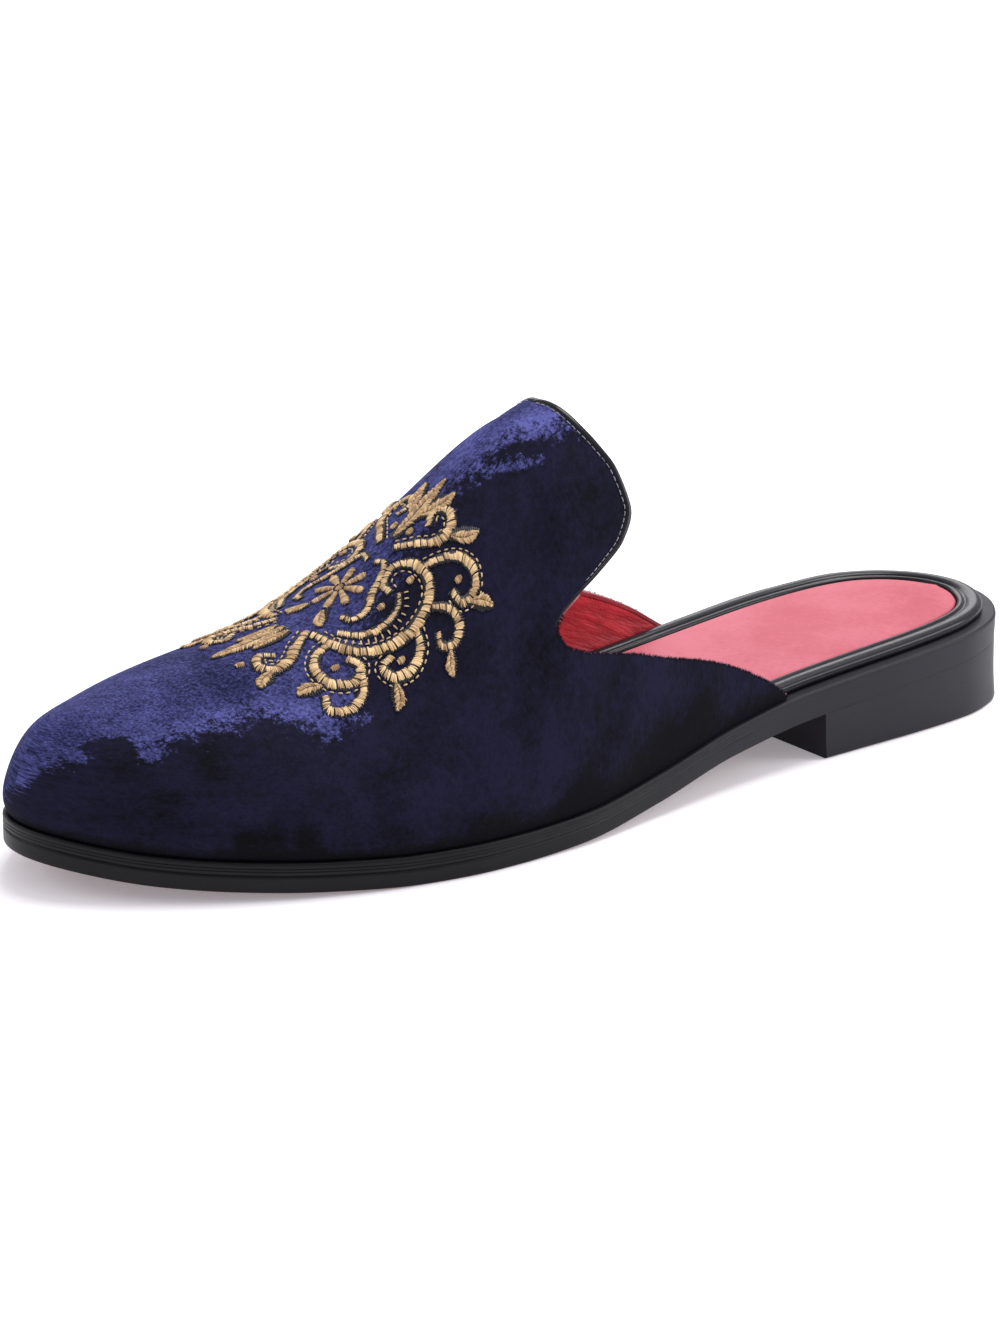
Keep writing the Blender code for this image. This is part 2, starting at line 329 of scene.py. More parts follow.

# Strokes that widen the painted sheen or cut into it: station, share of
# the girth, half length, half width, turn in degrees, and what they add
SHEEN_STROKES = (
    (0.572, 0.200, 0.0075, 0.0016, -36, 0.14),
    (0.566, 0.150, 0.0060, 0.0012, -36, -0.08),
    (0.545, 0.155, 0.0070, 0.0020, -34, 0.06),
    (0.757, 0.510, 0.0030, 0.0022, 0, 0.13),
    (0.792, 0.515, 0.0032, 0.0024, 20, 0.12),
    (0.835, 0.440, 0.0026, 0.0030, 90, -0.06),
    (0.925, 0.500, 0.0036, 0.0032, 80, 0.16),
    (0.946, 0.440, 0.0022, 0.0060, 0, -0.14),
    (0.962, 0.400, 0.0026, 0.0050, 0, -0.12),
    (0.976, 0.540, 0.0016, 0.0026, 0, 0.06),
    (0.972, 0.440, 0.0015, 0.0018, 0, -0.12),
    (0.700, 0.190, 0.0050, 0.0030, 0, -0.05),
    (0.600, -0.30, 0.0080, 0.0020, 36, 0.10),
    (0.780, -0.50, 0.0050, 0.0026, 20, 0.10),
    (0.900, -0.47, 0.0040, 0.0030, 80, -0.12),
    (0.945, -0.52, 0.0036, 0.0034, 80, 0.14),
)

# Patches of the painted sheen that are lighter or duller than what lies round them, in the same columns
SHEEN_PATCHES = (
    (0.538, 0.115, 0.0110, 0.0042, -34, 0.85),
    (0.540, 0.010, 0.0150, 0.0040, -10, -0.10),
    (0.590, 0.040, 0.0120, 0.0030, -20, 0.15),
    (0.665, 0.150, 0.0110, 0.0080, 0, -0.45),
    (0.845, 0.170, 0.0100, 0.0100, 0, -0.42),
    (0.820, 0.400, 0.0140, 0.0040, -20, 0.40),
    (0.880, 0.360, 0.0120, 0.0034, 10, 0.22),
    (0.925, 0.340, 0.0060, 0.0090, 0, 0.14),
    (0.905, 0.080, 0.0120, 0.0090, 0, -0.05),
    (0.985, 0.350, 0.0060, 0.0160, 0, -0.14),
    (0.980, -0.780, 0.0080, 0.0180, 0, -0.32),
    (0.840, -0.20, 0.0120, 0.0090, 0, -0.25),
    (0.800, -0.38, 0.0140, 0.0040, 20, 0.36),
    (0.900, -0.34, 0.0120, 0.0040, -10, 0.34),
    (0.560, -0.13, 0.0110, 0.0042, 34, 0.40),
)

# Painted shade: black patches in the dark part of the velvet, in the same columns
PAINTED_SHADE_PATCHES = (
    (0.886, 0.590, 0.0040, 0.0070, 0, 0.42),
    (0.950, 0.560, 0.0050, 0.0110, 0, 0.22),
    (0.920, 0.720, 0.0060, 0.0040, 20, 0.20),
    (0.830, 0.900, 0.0030, 0.0046, 10, 0.60),
    (0.853, 0.890, 0.0026, 0.0050, -10, 0.60),
    (0.872, 0.910, 0.0030, 0.0040, 0, 0.55),
    (0.762, 0.910, 0.0040, 0.0034, 10, 0.45),
    (0.680, 0.930, 0.0070, 0.0030, 0, 0.45),
    (0.590, 0.940, 0.0090, 0.0030, 10, 0.50),
    (0.500, 0.930, 0.0080, 0.0034, 10, 0.60),
    (0.450, 0.940, 0.0100, 0.0040, 10, 0.60),
    (0.560, 0.860, 0.0040, 0.0030, 30, 0.35),
    (0.620, 0.620, 0.0090, 0.0060, 50, 0.20),
    (0.540, 0.380, 0.0120, 0.0100, 40, 0.16),
    (0.860, -0.60, 0.0050, 0.0070, 0, 0.45),
    (0.700, -0.92, 0.0080, 0.0034, 0, 0.50),
    (0.560, -0.90, 0.0080, 0.0034, -10, 0.50),
)


def smooth_curve(table, column):
    """Return a curve through one column of a table, which never overshoots its values."""
    rows = np.array(table, float)
    places = rows[:, 0]
    values = rows[:, column]
    step = np.diff(places)
    slope = np.diff(values) / step
    tangent = np.concatenate((slope[:1], np.zeros(len(slope) - 1), slope[-1:]))
    for i in range(1, len(slope)):
        if slope[i - 1] * slope[i] > 0:
            tangent[i] = 2 * slope[i - 1] * slope[i] / (slope[i - 1] + slope[i])

    def at(place):
        i = np.clip(np.searchsorted(places, place) - 1, 0, len(step) - 1)
        f = (place - places[i]) / step[i]
        g = 1 - f
        ends = g * g * (1 + 2 * f) * values[i] + f * f * (3 - 2 * f) * values[i + 1]
        return ends + step[i] * f * g * (g * tangent[i] - f * tangent[i + 1])

    return at


def reach_along(points):
    """Distance from the first point of a line to each of its points, along the line."""
    return np.concatenate(([0], np.cumsum(np.linalg.norm(np.diff(points, axis=0), axis=1))))


def smooth_line(points, count):
    """A smooth line through points, with this many places spread evenly along it."""
    points = np.array(points, float)
    ends = np.vstack((2 * points[0] - points[1], points, 2 * points[-1] - points[-2]))
    fine = []
    for i in range(1, len(points)):
        before, first, second, after = ends[i - 1:i + 3]
        for f in np.arange(0, 1, 0.05):
            bend = 2 * before - 5 * first + 4 * second - after
            twist = 3 * first - before - 3 * second + after
            fine.append((2 * first + f * (second - before) + f * f * bend + f ** 3 * twist) / 2)
    fine = np.array(fine + [points[-1]])
    reach = reach_along(fine)
    at = np.linspace(0, reach[-1], count)
    return np.stack([np.interp(at, reach, fine[:, k]) for k in range(fine.shape[1])], axis=1)


def unit(vectors):
    return vectors / np.maximum(np.linalg.norm(vectors, axis=-1, keepdims=True), 1e-12)


def left_of(along):
    """Flat directions turned a quarter turn to the left."""
    return np.stack((-along[:, 1], along[:, 0]), axis=1)


def ease(value, low, high):
    """0 below low, 1 above high, smooth between."""
    share = np.clip((value - low) / (high - low), 0, 1)
    return share * share * (3 - 2 * share)


def squared(table):
    """A table with both values of each row squared."""
    return [(row[0], row[1] ** 2, row[2] ** 2) for row in table]


WIDTHS = [smooth_curve(squared(OUTLINE), column) for column in (1, 2)]
HEEL_PART = smooth_curve(UNDERSIDE, 1)
TOE_PART = smooth_curve(UNDERSIDE, 2)
RIDGE_HEIGHT = smooth_curve(SECTIONS, 1)
RIDGE_PLACE = smooth_curve(SECTIONS, 2)
FULLNESS = smooth_curve(SECTIONS, 3)
SWELLS = [smooth_curve(SECTIONS, column) for column in (4, 5)]
EDGE_STATIONS = [smooth_curve(TOPLINE, column) for column in (1, 2)]
PAINTED_SHEEN_REACHES = [smooth_curve(PAINTED_SHEEN, column) for column in (1, 2)]


def on_side(curves, place, side):
    """A value of the outer curve where side is positive, and of the inner one elsewhere."""
    return np.where(np.asarray(side) > 0, curves[0](place), curves[1](place))


def half_width(share, side):
    return BALL_WIDTH * np.sqrt(np.maximum(on_side(WIDTHS, share, side), 0))


def centre_shift():
    """Shift that puts the middle of the sole's width at x = 0."""
    shares = np.linspace(0, 1, 201)
    return (half_width(shares, INNER).max() - half_width(shares, OUTER).max()) / 2


MIDDLE = centre_shift()


def station(q):
    """Station of a place q along the outline, from 0 at the heel to 1 at the toe."""
    return (1 - np.cos(pi * q)) / 2


def place_of(share):
    return np.arccos(1 - 2 * share) / pi


def share_at(y):
    return np.clip(0.5 - y / LENGTH, 0, 1)


def outline_point(q, side):
    share = station(q)
    side = np.where((q < 0) | (q > 1), -side, side)
    return np.stack((MIDDLE + side * half_width(share, side), LENGTH * (0.5 - share)), axis=-1)


def inset_point(q, side, inset):
    """Points of the sole's outline moved inwards, and the outward directions there."""
    along = unit(outline_point(q + NUDGE, side) - outline_point(q - NUDGE, side))
    side = np.broadcast_to(side, along.shape[:-1])
    outward = np.stack((-along[..., 1], along[..., 0]), axis=-1) * side[..., None]
    return outline_point(q, side) - outward * np.expand_dims(inset, -1), outward


def soft_inset_point(q, side, inset):
    """Inset points evened out along the outline, the more the further in they lie."""
    reach = SOFTENING * np.clip(inset / (RIM_WIDTH + rim_inset()), 0, 1)
    steps = np.linspace(-1, 1, 9)
    return sum(inset_point(q + reach * step, side, inset)[0] for step in steps) / len(steps)


def underside(share):
    return HEEL_RISE * HEEL_PART(share) + TOE_SPRING * TOE_PART(share)


def welt_bottom(share):
    return underside(share) + OUTSOLE_THICKNESS


def welt_top(share):
    return welt_bottom(share) + WELT_THICKNESS


def swell_at(rise):
    """How far the side stands out at a height, from none at the welt to 1 at its most."""
    share = rise / SWELL_HEIGHT
    return share * np.exp(1 - share) * (1 - rise) / (1 - SWELL_HEIGHT)


def toe_lean(share):
    """How far the top of a section has moved back from the toe."""
    return TOE_SETBACK * (np.maximum(share - LEAN_START, 0) / (1 - LEAN_START)) ** 2


def last_point(q, side, way):
    """Points on the upper's outside."""
    share = station(q)
    edge, outward = inset_point(q, side, WELT_LEDGE + 0 * way)
    power = 2 / FULLNESS(share)
    rise = np.maximum(np.sin(way * pi / 2), 0) ** power
    spread = np.maximum(np.cos(way * pi / 2), 0) ** power
    ridge_x = MIDDLE + BALL_WIDTH * RIDGE_PLACE(share)
    ridge_y = LENGTH * (0.5 - share) + toe_lean(share)
    swell = UPPER_SWELL * on_side(SWELLS, share, side) * swell_at(rise)
    x = ridge_x + (edge[..., 0] - ridge_x) * spread + outward[..., 0] * swell
    y = ridge_y + (edge[..., 1] - ridge_y) * spread + outward[..., 1] * swell
    z = welt_top(share_at(edge[..., 1])) + INSTEP_HEIGHT * RIDGE_HEIGHT(share) * rise
    return np.stack((x, y, z), axis=-1)


def edge_place(side, way):
    """Place along the outline at which the upper's free edge crosses a way up the side."""
    return place_of(on_side(EDGE_STATIONS, way, side))


def last_normal(q, side, way):
    """Outward normals of the last."""
    q = np.clip(q, 0.01, 1 - 2 * NUDGE)
    way = np.clip(way, 2 * NUDGE, 1)
    along = last_point(q + NUDGE, side, way) - last_point(q - NUDGE, side, way)
    up = last_point(q, side, way) - last_point(q, side, way - NUDGE)
    return unit(np.cross(up, along)) * np.expand_dims(side, -1)


def distances(share, girth, at, place, turn):
    """Distances on the cloth from the middle of a turned oval, along it and across it."""
    turn = radians(turn)
    forward = (share - at) * LENGTH
    down = (girth - place) * SIDE_GIRTH
    return forward * cos(turn) + down * sin(turn), down * cos(turn) - forward * sin(turn)


def relief(share, girth):
    """How far the velvet stands off the last: soft troughs, each with a low ridge beside it."""
    total = 0 * share
    for at, place, length, width, depth, turn in CREASES:
        along, over = distances(share, girth, at, place, turn)
        ends = np.exp(-(along / length) ** 4)
        trough = -np.exp(-(over / width) ** 2)
        ridge = CREASE_RIDGE * np.exp(-((over - CREASE_RIDGE_AWAY * width) / width) ** 2)
        total = total + depth * ends * (trough + ridge)
    return total


def velvet_point(q, side, way):
    """Points on the outside of the velvet, and its normals there."""
    normal = last_normal(q, side, way)
    height = relief(station(q), side * (1 - way)) * ease(way, 0, CREASES_FADE)
    return last_point(q, side, way) + normal * height[..., None], normal


def topline_frame(side, way):
    """Points of the upper's free edge, the outward normals and the directions off the edge."""
    edge = edge_place(side, way)
    point, normal = velvet_point(edge, side, way)
    low = np.clip(way - EDGE_NUDGE, 0, 1)
    high = np.clip(way + EDGE_NUDGE, 0, 1)
    tangent = last_point(edge_place(side, high), side, high)
    tangent = tangent - last_point(edge_place(side, low), side, low)
    forward = last_point(edge + EDGE_NUDGE, side, way) - last_point(edge, side, way)
    off = unit(np.cross(unit(tangent), normal))
    off = off * np.where(np.sum(off * forward, axis=-1) > 0, -1, 1)[..., None]
    return point, normal, off


def upper_ways(count):
    """Ways up the side, evened out between height and the free edge's length."""
    ways = np.linspace(0, 1, 800)
    edge = last_point(edge_place(OUTER, ways), OUTER, ways)
    lengths = np.linalg.norm(np.diff(edge, axis=0), axis=1)
    reach = np.concatenate(([0], np.cumsum(lengths))) / np.sum(lengths)
    return np.interp(np.linspace(0, 2, count + 1), reach + ways, ways)


def across(count):
    """Sides and ways of columns from the outer welt over the ridge to the inner welt."""
    ways = upper_ways(count)
    sides = np.concatenate((np.full(count + 1, OUTER), np.full(count, INNER)))
    return sides, np.concatenate((ways, ways[-2::-1]))


class Value:
    """What one output of a node gives; Python's operators on it add Math nodes."""

    def __init__(self, finish, socket):
        self.finish = finish
        self.socket = socket

    def maths(self, operation, first, second):
        return self.finish.node("ShaderNodeMath", {"operation": operation}, {0: first, 1: second})

    def __add__(self, other):
        return self.maths('ADD', self, other)

    def __sub__(self, other):
        return self.maths('SUBTRACT', self, other)

    def __rsub__(self, other):
        return self.maths('SUBTRACT', other, self)

    def __mul__(self, other):
        return self.maths('MULTIPLY', self, other)

    __radd__ = __add__
    __rmul__ = __mul__


class Finish:
    """One material and the nodes that paint it."""

    def __init__(self, name, fixed):
        self.material = bpy.data.materials.new(name)
        self.material.use_nodes = True
        self.nodes = self.material.node_tree.nodes
        self.links = self.material.node_tree.links
        self.shader = self.nodes["Principled BSDF"]
        for word, value in fixed.items():
            self.give(word, value)

    def feed(self, socket, value):
        if isinstance(value, Value):
            self.links.new(value.socket, socket)
        elif isinstance(value, tuple) and len(socket.default_value) > len(value):
            socket.default_value = (*value, 1)
        else:
            socket.default_value = value

    def give(self, word, value):
        """Set one of the shader's own sockets, or link it."""
        self.feed(self.shader.inputs[word], value)

    def node(self, kind, settings, inputs, output=0):
        made = self.nodes.new(kind)
        for word, value in settings.items():
            setattr(made, word, value)
        for word, value in inputs.items():
            self.feed(made.inputs[word], value)
        return Value(self, made.outputs[output])

    def place(self):
        """Object coordinates, in metres."""
        return self.node("ShaderNodeTexCoord", {}, {}, "Object")

    def cloth(self):
        """Metres along the shoe and round it from the ridge."""
        return self.node("ShaderNodeUVMap", {"uv_map": "cloth"}, {}, "UV")

    def field(self, name):
        """A named value that the piece's points carry."""
        return self.node("ShaderNodeAttribute", {"attribute_name": name}, {}, "Fac")

    def stretched(self, place, factors):
        return self.node("ShaderNodeVectorMath", {"operation": 'MULTIPLY'}, {0: place, 1: factors})

    def turned(self, place, angle):
        inputs = {"Vector": place, "Rotation": (0, 0, angle)}
        return self.node("ShaderNodeMapping", {}, inputs)

    def noise(self, place, size, detail=2.0, rough=0.5):
        """Clouds with features of about this size in metres, from 0 to 1."""
        inputs = {"Vector": place, "Scale": 1 / size, "Detail": detail, "Roughness": rough}
        return self.node("ShaderNodeTexNoise", {}, inputs)

    def cells(self, place, size):
        """Distance from the nearest of scattered points, as a share of their spacing."""
        return self.node("ShaderNodeTexVoronoi", {}, {"Vector": place, "Scale": 1 / size})

    def step(self, value, low, high):
        """0 below low, 1 above high, smooth between."""
        settings = {"interpolation_type": 'SMOOTHSTEP'}
        return self.node("ShaderNodeMapRange", settings, {0: value, 1: low, 2: high})

    def heelward(self, place, low, high):
        """0 where y is below low, 1 where it is above high, nearer the heel."""
        return self.step(self.node("ShaderNodeSeparateXYZ", {}, {"Vector": place}, "Y"), low, high)

    def mix(self, share, first, second):
        """The first colour where share is 0 and the second where it is 1."""
        return self.node("ShaderNodeMix", {"data_type": 'RGBA'}, {0: share, 6: first, 7: second}, 2)

    def bump(self, height, distance, strength=1.0, over=None):
        inputs = {"Height": height, "Distance": distance, "Strength": strength}
        if over is not None:
            inputs["Normal"] = over
        return self.node("ShaderNodeBump", {}, inputs)


def velvet_finish():
    """Crushed velvet: near-black navy, with painted violet blue sheen where the nap faces the light, and
    painted shade.
    """
    fixed = {"Roughness": 0.9, "Specular IOR Level": 0.06, "Sheen Weight": 0.04}
    fixed["Sheen Roughness"] = 0.35
    fixed["Sheen Tint"] = (0.45, 0.42, 1.0)
    finish = Finish("velvet", fixed)
    cloth = finish.cloth()
    blots = finish.noise(cloth, 0.0085, 4, 0.62) - 0.5
    ragged = finish.noise(cloth, 0.0022, 4, 0.72) - 0.5
    brushed = finish.stretched(finish.turned(cloth, -0.3), (1.0, 0.28, 1.0))
    strokes = finish.noise(brushed, 0.0017, 3, 0.6) - 0.5
    streaks = finish.noise(brushed, 0.00075, 3, 0.7) - 0.5
    grain = finish.noise(cloth, 0.00095, 3, 0.85) - 0.5
    # Painted sheen: inside the bright part the velvet is painted violet blue, lighter or duller patch by
    # patch
    edge = finish.field("glow") + blots * 0.20 + ragged * 0.24 + strokes * 0.12 + grain * 0.32
    lit = finish.step(edge, -0.03, 0.06)
    tone = finish.field("lustre") * 0.9 + blots * 1.0 + strokes * 0.75 + ragged * 0.55
    shine = finish.step(tone + streaks * 1.0 + grain * 2.9, -0.66, 1.40)
    bright = finish.mix(shine, (0.008, 0.009, 0.034), (0.134, 0.142, 0.430))
    patches = finish.noise(cloth, 0.013, 4, 0.6) - 0.5
    # Painted shade: the shade field blackens the dark part, most of all along the welt
    depth = patches * 1.2 + ragged * 0.85 + grain * 1.00 - finish.field("shade")
    dark = finish.mix(finish.step(depth, -0.56, 0.36), (0.0040, 0.0039, 0.0052), (0.0124, 0.0116, 0.0312))
    finish.give("Base Color", finish.mix(lit, dark, bright))
    pile = finish.bump(grain, 0.00012, 0.6)
    finish.give("Normal", finish.bump(blots + strokes * 0.5, 0.0005, 0.5, pile))
    return finish.material


def fuzz_finish():
    """The pile along the fold, as dark as the velvet's dark part."""
    finish = Finish("velvet_fuzz", {"Roughness": 0.9, "Specular IOR Level": 0.1})
    tint = finish.noise(finish.place(), 0.004, 2)
    finish.give("Base Color", finish.mix(tint, (0.004, 0.004, 0.006), (0.014, 0.012, 0.032)))
    return finish.material


def lining_finish():
    """Soft red leather with fine creases along the shoe and a darker turned edge."""
    finish = Finish("lining_leather", {"Coat Weight": 0.06, "Coat Roughness": 0.35})
    cloth = finish.cloth()
    turned = finish.turned(cloth, -0.32)
    wrinkles = finish.noise(finish.stretched(turned, (0.16, 1.0, 1.0)), 0.0016, 3, 0.6)
    pores = finish.cells(cloth, 0.0006)
    tone = finish.noise(cloth, 0.014, 3) * 0.5 + wrinkles * 0.5
    red = finish.mix(finish.step(tone, 0.3, 0.7), (0.300, 0.006, 0.011), (0.680, 0.027, 0.042))
    turned_edge = 1 - finish.step(finish.field("edge"), 0.0010, 0.0013)
    finish.give("Base Color", finish.mix(turned_edge * 0.75, red, (0.210, 0.012, 0.022)))
    finish.give("Roughness", 0.42 + wrinkles * 0.25)
    fold = finish.bump(turned_edge, 0.00025, 1.0)
    fine = finish.bump(pores, 0.00006, 0.5, fold)
    finish.give("Normal", finish.bump(wrinkles, 0.0007, 0.8, fine))
    return finish.material


def raw_edge_finish():
    """The cut edge of the lining: dusty pink, worn paler in places."""
    finish = Finish("raw_edge", {"Specular IOR Level": 0.3})
    wear = finish.noise(finish.place(), 0.003, 3, 0.6)
    paler = finish.step(wear, 0.35, 0.65)
    finish.give("Base Color", finish.mix(paler, (0.22, 0.050, 0.062), (0.42, 0.20, 0.22)))
    finish.give("Roughness", 0.5 + wear * 0.2)
    finish.give("Normal", finish.bump(wear, 0.0001, 0.4))
    return finish.material


def sock_finish():
    """Rose red sock leather: even, finely grained, with faint worn clouds."""
    finish = Finish("sock_leather", {"Specular IOR Level": 0.25})
    place = finish.place()
    clouds = finish.noise(place, 0.030, 3, 0.55)
    mottle = finish.noise(place, 0.0016, 3, 0.65)
    pores = finish.cells(place, 0.00055)
    tone = finish.step(clouds * 0.62 + mottle * 0.38, 0.35, 0.63)
    heelward = finish.heelward(place, 0.06, 0.15)
    fore = finish.mix(tone, (0.462, 0.077, 0.109), (0.548, 0.128, 0.173))
    back = finish.mix(tone, (0.426, 0.059, 0.085), (0.518, 0.108, 0.147))
    finish.give("Base Color", finish.mix(heelward, fore, back))
    finish.give("Roughness", 0.50 + mottle * 0.22)
    fine = finish.bump(pores, 0.00008, 0.45)
    finish.give("Normal", finish.bump(mottle, 0.00012, 0.5, fine))
    return finish.material


def black_leather_finish():
    """Smooth black leather of the rim and the binding, with a soft gloss."""
    fixed = {"Coat Weight": 0.25, "Coat Roughness": 0.14, "Specular IOR Level": 0.10}
    finish = Finish("black_leather", fixed)
    place = finish.place()
    clouds = finish.noise(place, 0.009, 3)
    pores = finish.cells(place, 0.00060)
    creases = finish.noise(place, 0.0022, 3, 0.6)
    finish.give("Base Color", finish.mix(clouds, (0.0030, 0.0028, 0.0050), (0.0080, 0.0075, 0.0120)))
    finish.give("Roughness", 0.30 + clouds * 0.22)
    fine = finish.bump(pores, 0.00006, 0.5)
    finish.give("Normal", finish.bump(creases, 0.00018, 0.5, fine))
    return finish.material


def edge_finish():
    """Burnished, waxed edges: satin black with faint lines, with painted reflection lighter and bluer at
    the heel.
    """
    finish = Finish("sole_edge", {"Specular IOR Level": 0.19})
    place = finish.place()
    # Painted light: the heel is painted lighter and bluer as painted reflection, the forepart darker as
    # painted shade
    heelward = finish.heelward(place, -0.08, 0.15)
    lines = finish.noise(finish.stretched(place, (0.06, 0.06, 1.0)), 0.00045, 2, 0.6)
    clouds = finish.noise(place, 0.012, 3, 0.55)
    tone = finish.step(lines * 0.4 + clouds * 0.6, 0.3, 0.7)
    forepart = finish.mix(tone, (0.0016, 0.0016, 0.0022), (0.0038, 0.0036, 0.0050))
    heel = finish.mix(tone, (0.0105, 0.0098, 0.0160), (0.0145, 0.0135, 0.0205))
    finish.give("Base Color", finish.mix(heelward, forepart, heel))
    finish.give("Roughness", 0.40 + clouds * 0.14)
    finish.give("Normal", finish.bump(lines, 0.00005, 0.6))
    return finish.material


def underside_finish():
    """Oxblood tread with fine scuffs."""
    finish = Finish("underside", {"Coat Weight": 0.10, "Coat Roughness": 0.3})
    place = finish.place()
    clouds = finish.noise(place, 0.018, 4, 0.6)
    scuffs = finish.noise(finish.stretched(place, (1.0, 0.2, 1.0)), 0.0012, 3, 0.6)
    finish.give("Base Color", finish.mix(clouds, (0.055, 0.012, 0.010), (0.120, 0.028, 0.022)))
    finish.give("Roughness", 0.38 + scuffs * 0.2)
    finish.give("Normal", finish.bump(scuffs, 0.00008, 0.5))
    return finish.material


def thread_finish(name, dark, light):
    """Glossy twisted thread, whose tone changes from strand to strand."""
    fixed = {"Sheen Weight": 0.15, "Sheen Roughness": 0.4, "Specular IOR Level": 0.45}
    finish = Finish(name, fixed)
    tone = finish.field("tone")
    twist = finish.noise(finish.place(), 0.00022, 2)
    brightness = finish.step(tone + twist * 0.3, 0.05, 1.15)
    finish.give("Base Color", finish.mix(brightness, dark, light))
    finish.give("Roughness", 0.38 + twist * 0.2)
    finish.give("Normal", finish.bump(twist, 0.00006, 0.7))
    return finish.material


def floor_finish():
    fixed = {"Roughness": 0.75, "Specular IOR Level": 0.25, "Emission Strength": 0.22}
    fixed["Emission Color"] = (1.0, 0.955, 1.0)
    finish = Finish("floor", fixed)
    clouds = finish.noise(finish.place(), 0.5, 2)
    finish.give("Base Color", finish.mix(clouds, (0.90, 0.90, 0.905), (0.92, 0.92, 0.925)))
    return finish.material


def mesh_of(name, bm):
    """Turn a bmesh into a mesh and free it."""
    mesh = bpy.data.meshes.new(name)
    bm.to_mesh(mesh)
    bm.free()
    return mesh


def add_object(name, data):
    """Put a mesh, a light or a camera into the scene."""
    made = bpy.data.objects.new(name, data)
    bpy.context.collection.objects.link(made)
    return made


def piece(name, bm, finishes, sharp=35):
    """Turn a bmesh into a piece of the shoe, smooth except at sharp edges."""
    bmesh.ops.recalc_face_normals(bm, faces=bm.faces)
    mesh = mesh_of(name, bm)
    mesh.shade_smooth()
    if sharp:
        mesh.set_sharp_from_angle(angle=radians(sharp))
    for finish in finishes:
        mesh.materials.append(finish)
    made = add_object(name, mesh)
    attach(made, "root")
    return made


def grid(columns, rows, place, cloth=None, fields=None):
    """A grid whose points go where place(column, row) says.

    cloth(column, row) gives the metres along and round the shoe, for the UV map;
    fields holds a function for each named value that the material reads.
    """
    bm = bmesh.new()
    bmesh.ops.create_grid(bm, x_segments=columns, y_segments=rows, size=1)
    layers = {name: bm.verts.layers.float.new(name) for name in (fields or {})}
    verts = list(bm.verts)
    spots = np.array([vert.co[:2] for vert in verts])
    column = np.rint((spots[:, 0] + 1) / 2 * columns).astype(int)
    row = np.rint((spots[:, 1] + 1) / 2 * rows).astype(int)
    points = place(column, row)
    for vert, point in zip(verts, points):
        vert.co = point
    for name, layer in layers.items():
        for vert, value in zip(verts, fields[name](column, row, points)):
            vert[layer] = value
    if cloth:
        along, around = cloth(column, row)
        layer = bm.loops.layers.uv.new("cloth")
        for face in bm.faces:
            for loop in face.loops:
                loop[layer].uv = (along[loop.vert.index], around[loop.vert.index])
    return bm


def merge(bm, distance=0.00001):
    """Join the points of a bmesh that lie on each other."""
    bmesh.ops.remove_doubles(bm, verts=bm.verts, dist=distance)
    return bm


def fill_ends(bm):
    """Close the open ends of a tube or a plate."""
    open_edges = [edge for edge in bm.edges if edge.is_boundary]
    bmesh.ops.holes_fill(bm, edges=open_edges, sides=0)


def plate(section, height, rows, notch=None, last=1.0, front=None, flat=1, crown=0.0):
    """A closed plate with the sole's outline.

    Each row of the section is an inset, a level and the depth of a groove there,
    from the lower edge up and inwards. The flat top is divided across and may be
    crowned. With a front, the plate ends there in a flat face.
    """
    section = np.array(section)
    top = section[-1]
    weights = np.linspace(1, 0, flat + 1)[1:-1]
    level = np.concatenate((section[:, 1], 0 * weights + top[1], section[::-1, 1], section[:1, 1]))
    lift = np.concatenate((0 * section[:, 0], crown * 4 * weights * (1 - weights)))
    lift = np.concatenate((lift, np.zeros(len(section) + 1)))
    inset = np.concatenate((section[:, 0], 0 * weights + top[0], section[::-1, 0], section[:1, 0]))
    groove = np.concatenate((section[:, 2], 0 * weights, section[::-1, 2], section[:1, 2]))
    weight = np.concatenate((np.ones(len(section)), weights, np.zeros(len(section)), [1]))

    def place(column, row):
        q = last * row / rows
        cut = groove[column] * (notch(station(q)) if notch else 0)
        outer = soft_inset_point(q, OUTER, inset[column] + cut)
        inner = soft_inset_point(q, INNER, inset[column] + cut)
        share = weight[column][:, None]
        x, y = (outer * share + inner * (1 - share)).T
        if front is not None:
            y = np.where(row == rows, front, np.maximum(y, front))
        return np.stack((x, y, height(share_at(y), level[column]) + lift[column]), axis=-1)

    bm = merge(grid(len(level) - 1, rows, place))
    if front is not None:
        fill_ends(bm)
    return bm


def lower_corner(radius, steps=4):
    """Section rows round the lower edge of a plate, which is square where the notch is nothing."""
    turns = np.linspace(0, pi / 2, steps + 1)
    return [(0, radius - radius * cos(turn), radius - radius * sin(turn)) for turn in turns]


def upper_corner(radius, top, steps=4):
    """Section rows round the upper edge of a plate, from its side in to its top."""
    turns = np.linspace(0, pi / 2, steps + 1)
    return [(radius - radius * cos(turn), top - radius + radius * sin(turn), 0) for turn in turns]


def seam_shows(share):
    """1 along the forepart, where the groove between outsole and welt shows, 0 at the heel."""
    return ease(share, *SEAM_FADES)


def paint_underside(made, finish):
    """Give the faces that look down the second material."""
    made.data.materials.append(finish)
    for face in made.data.polygons:
        if face.normal.z < DOWNWARD:
            face.material_index = 1


def make_outsole(edge, tread):
    top = OUTSOLE_THICKNESS
    section = lower_corner(EDGE_ROUND)
    section += [(0, top * share, 0) for share in (0.35, 0.6, 0.8, 0.88)]
    section += [(0, top * 0.93, SEAM_DEPTH * 0.25), (0, top, SEAM_DEPTH)]
    bm = plate(section, lambda share, level: underside(share) + level, SOLE_ROWS, seam_shows)
    made = piece("outsole_leather", bm, [edge])
    paint_underside(made, tread)
    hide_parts("outsole")


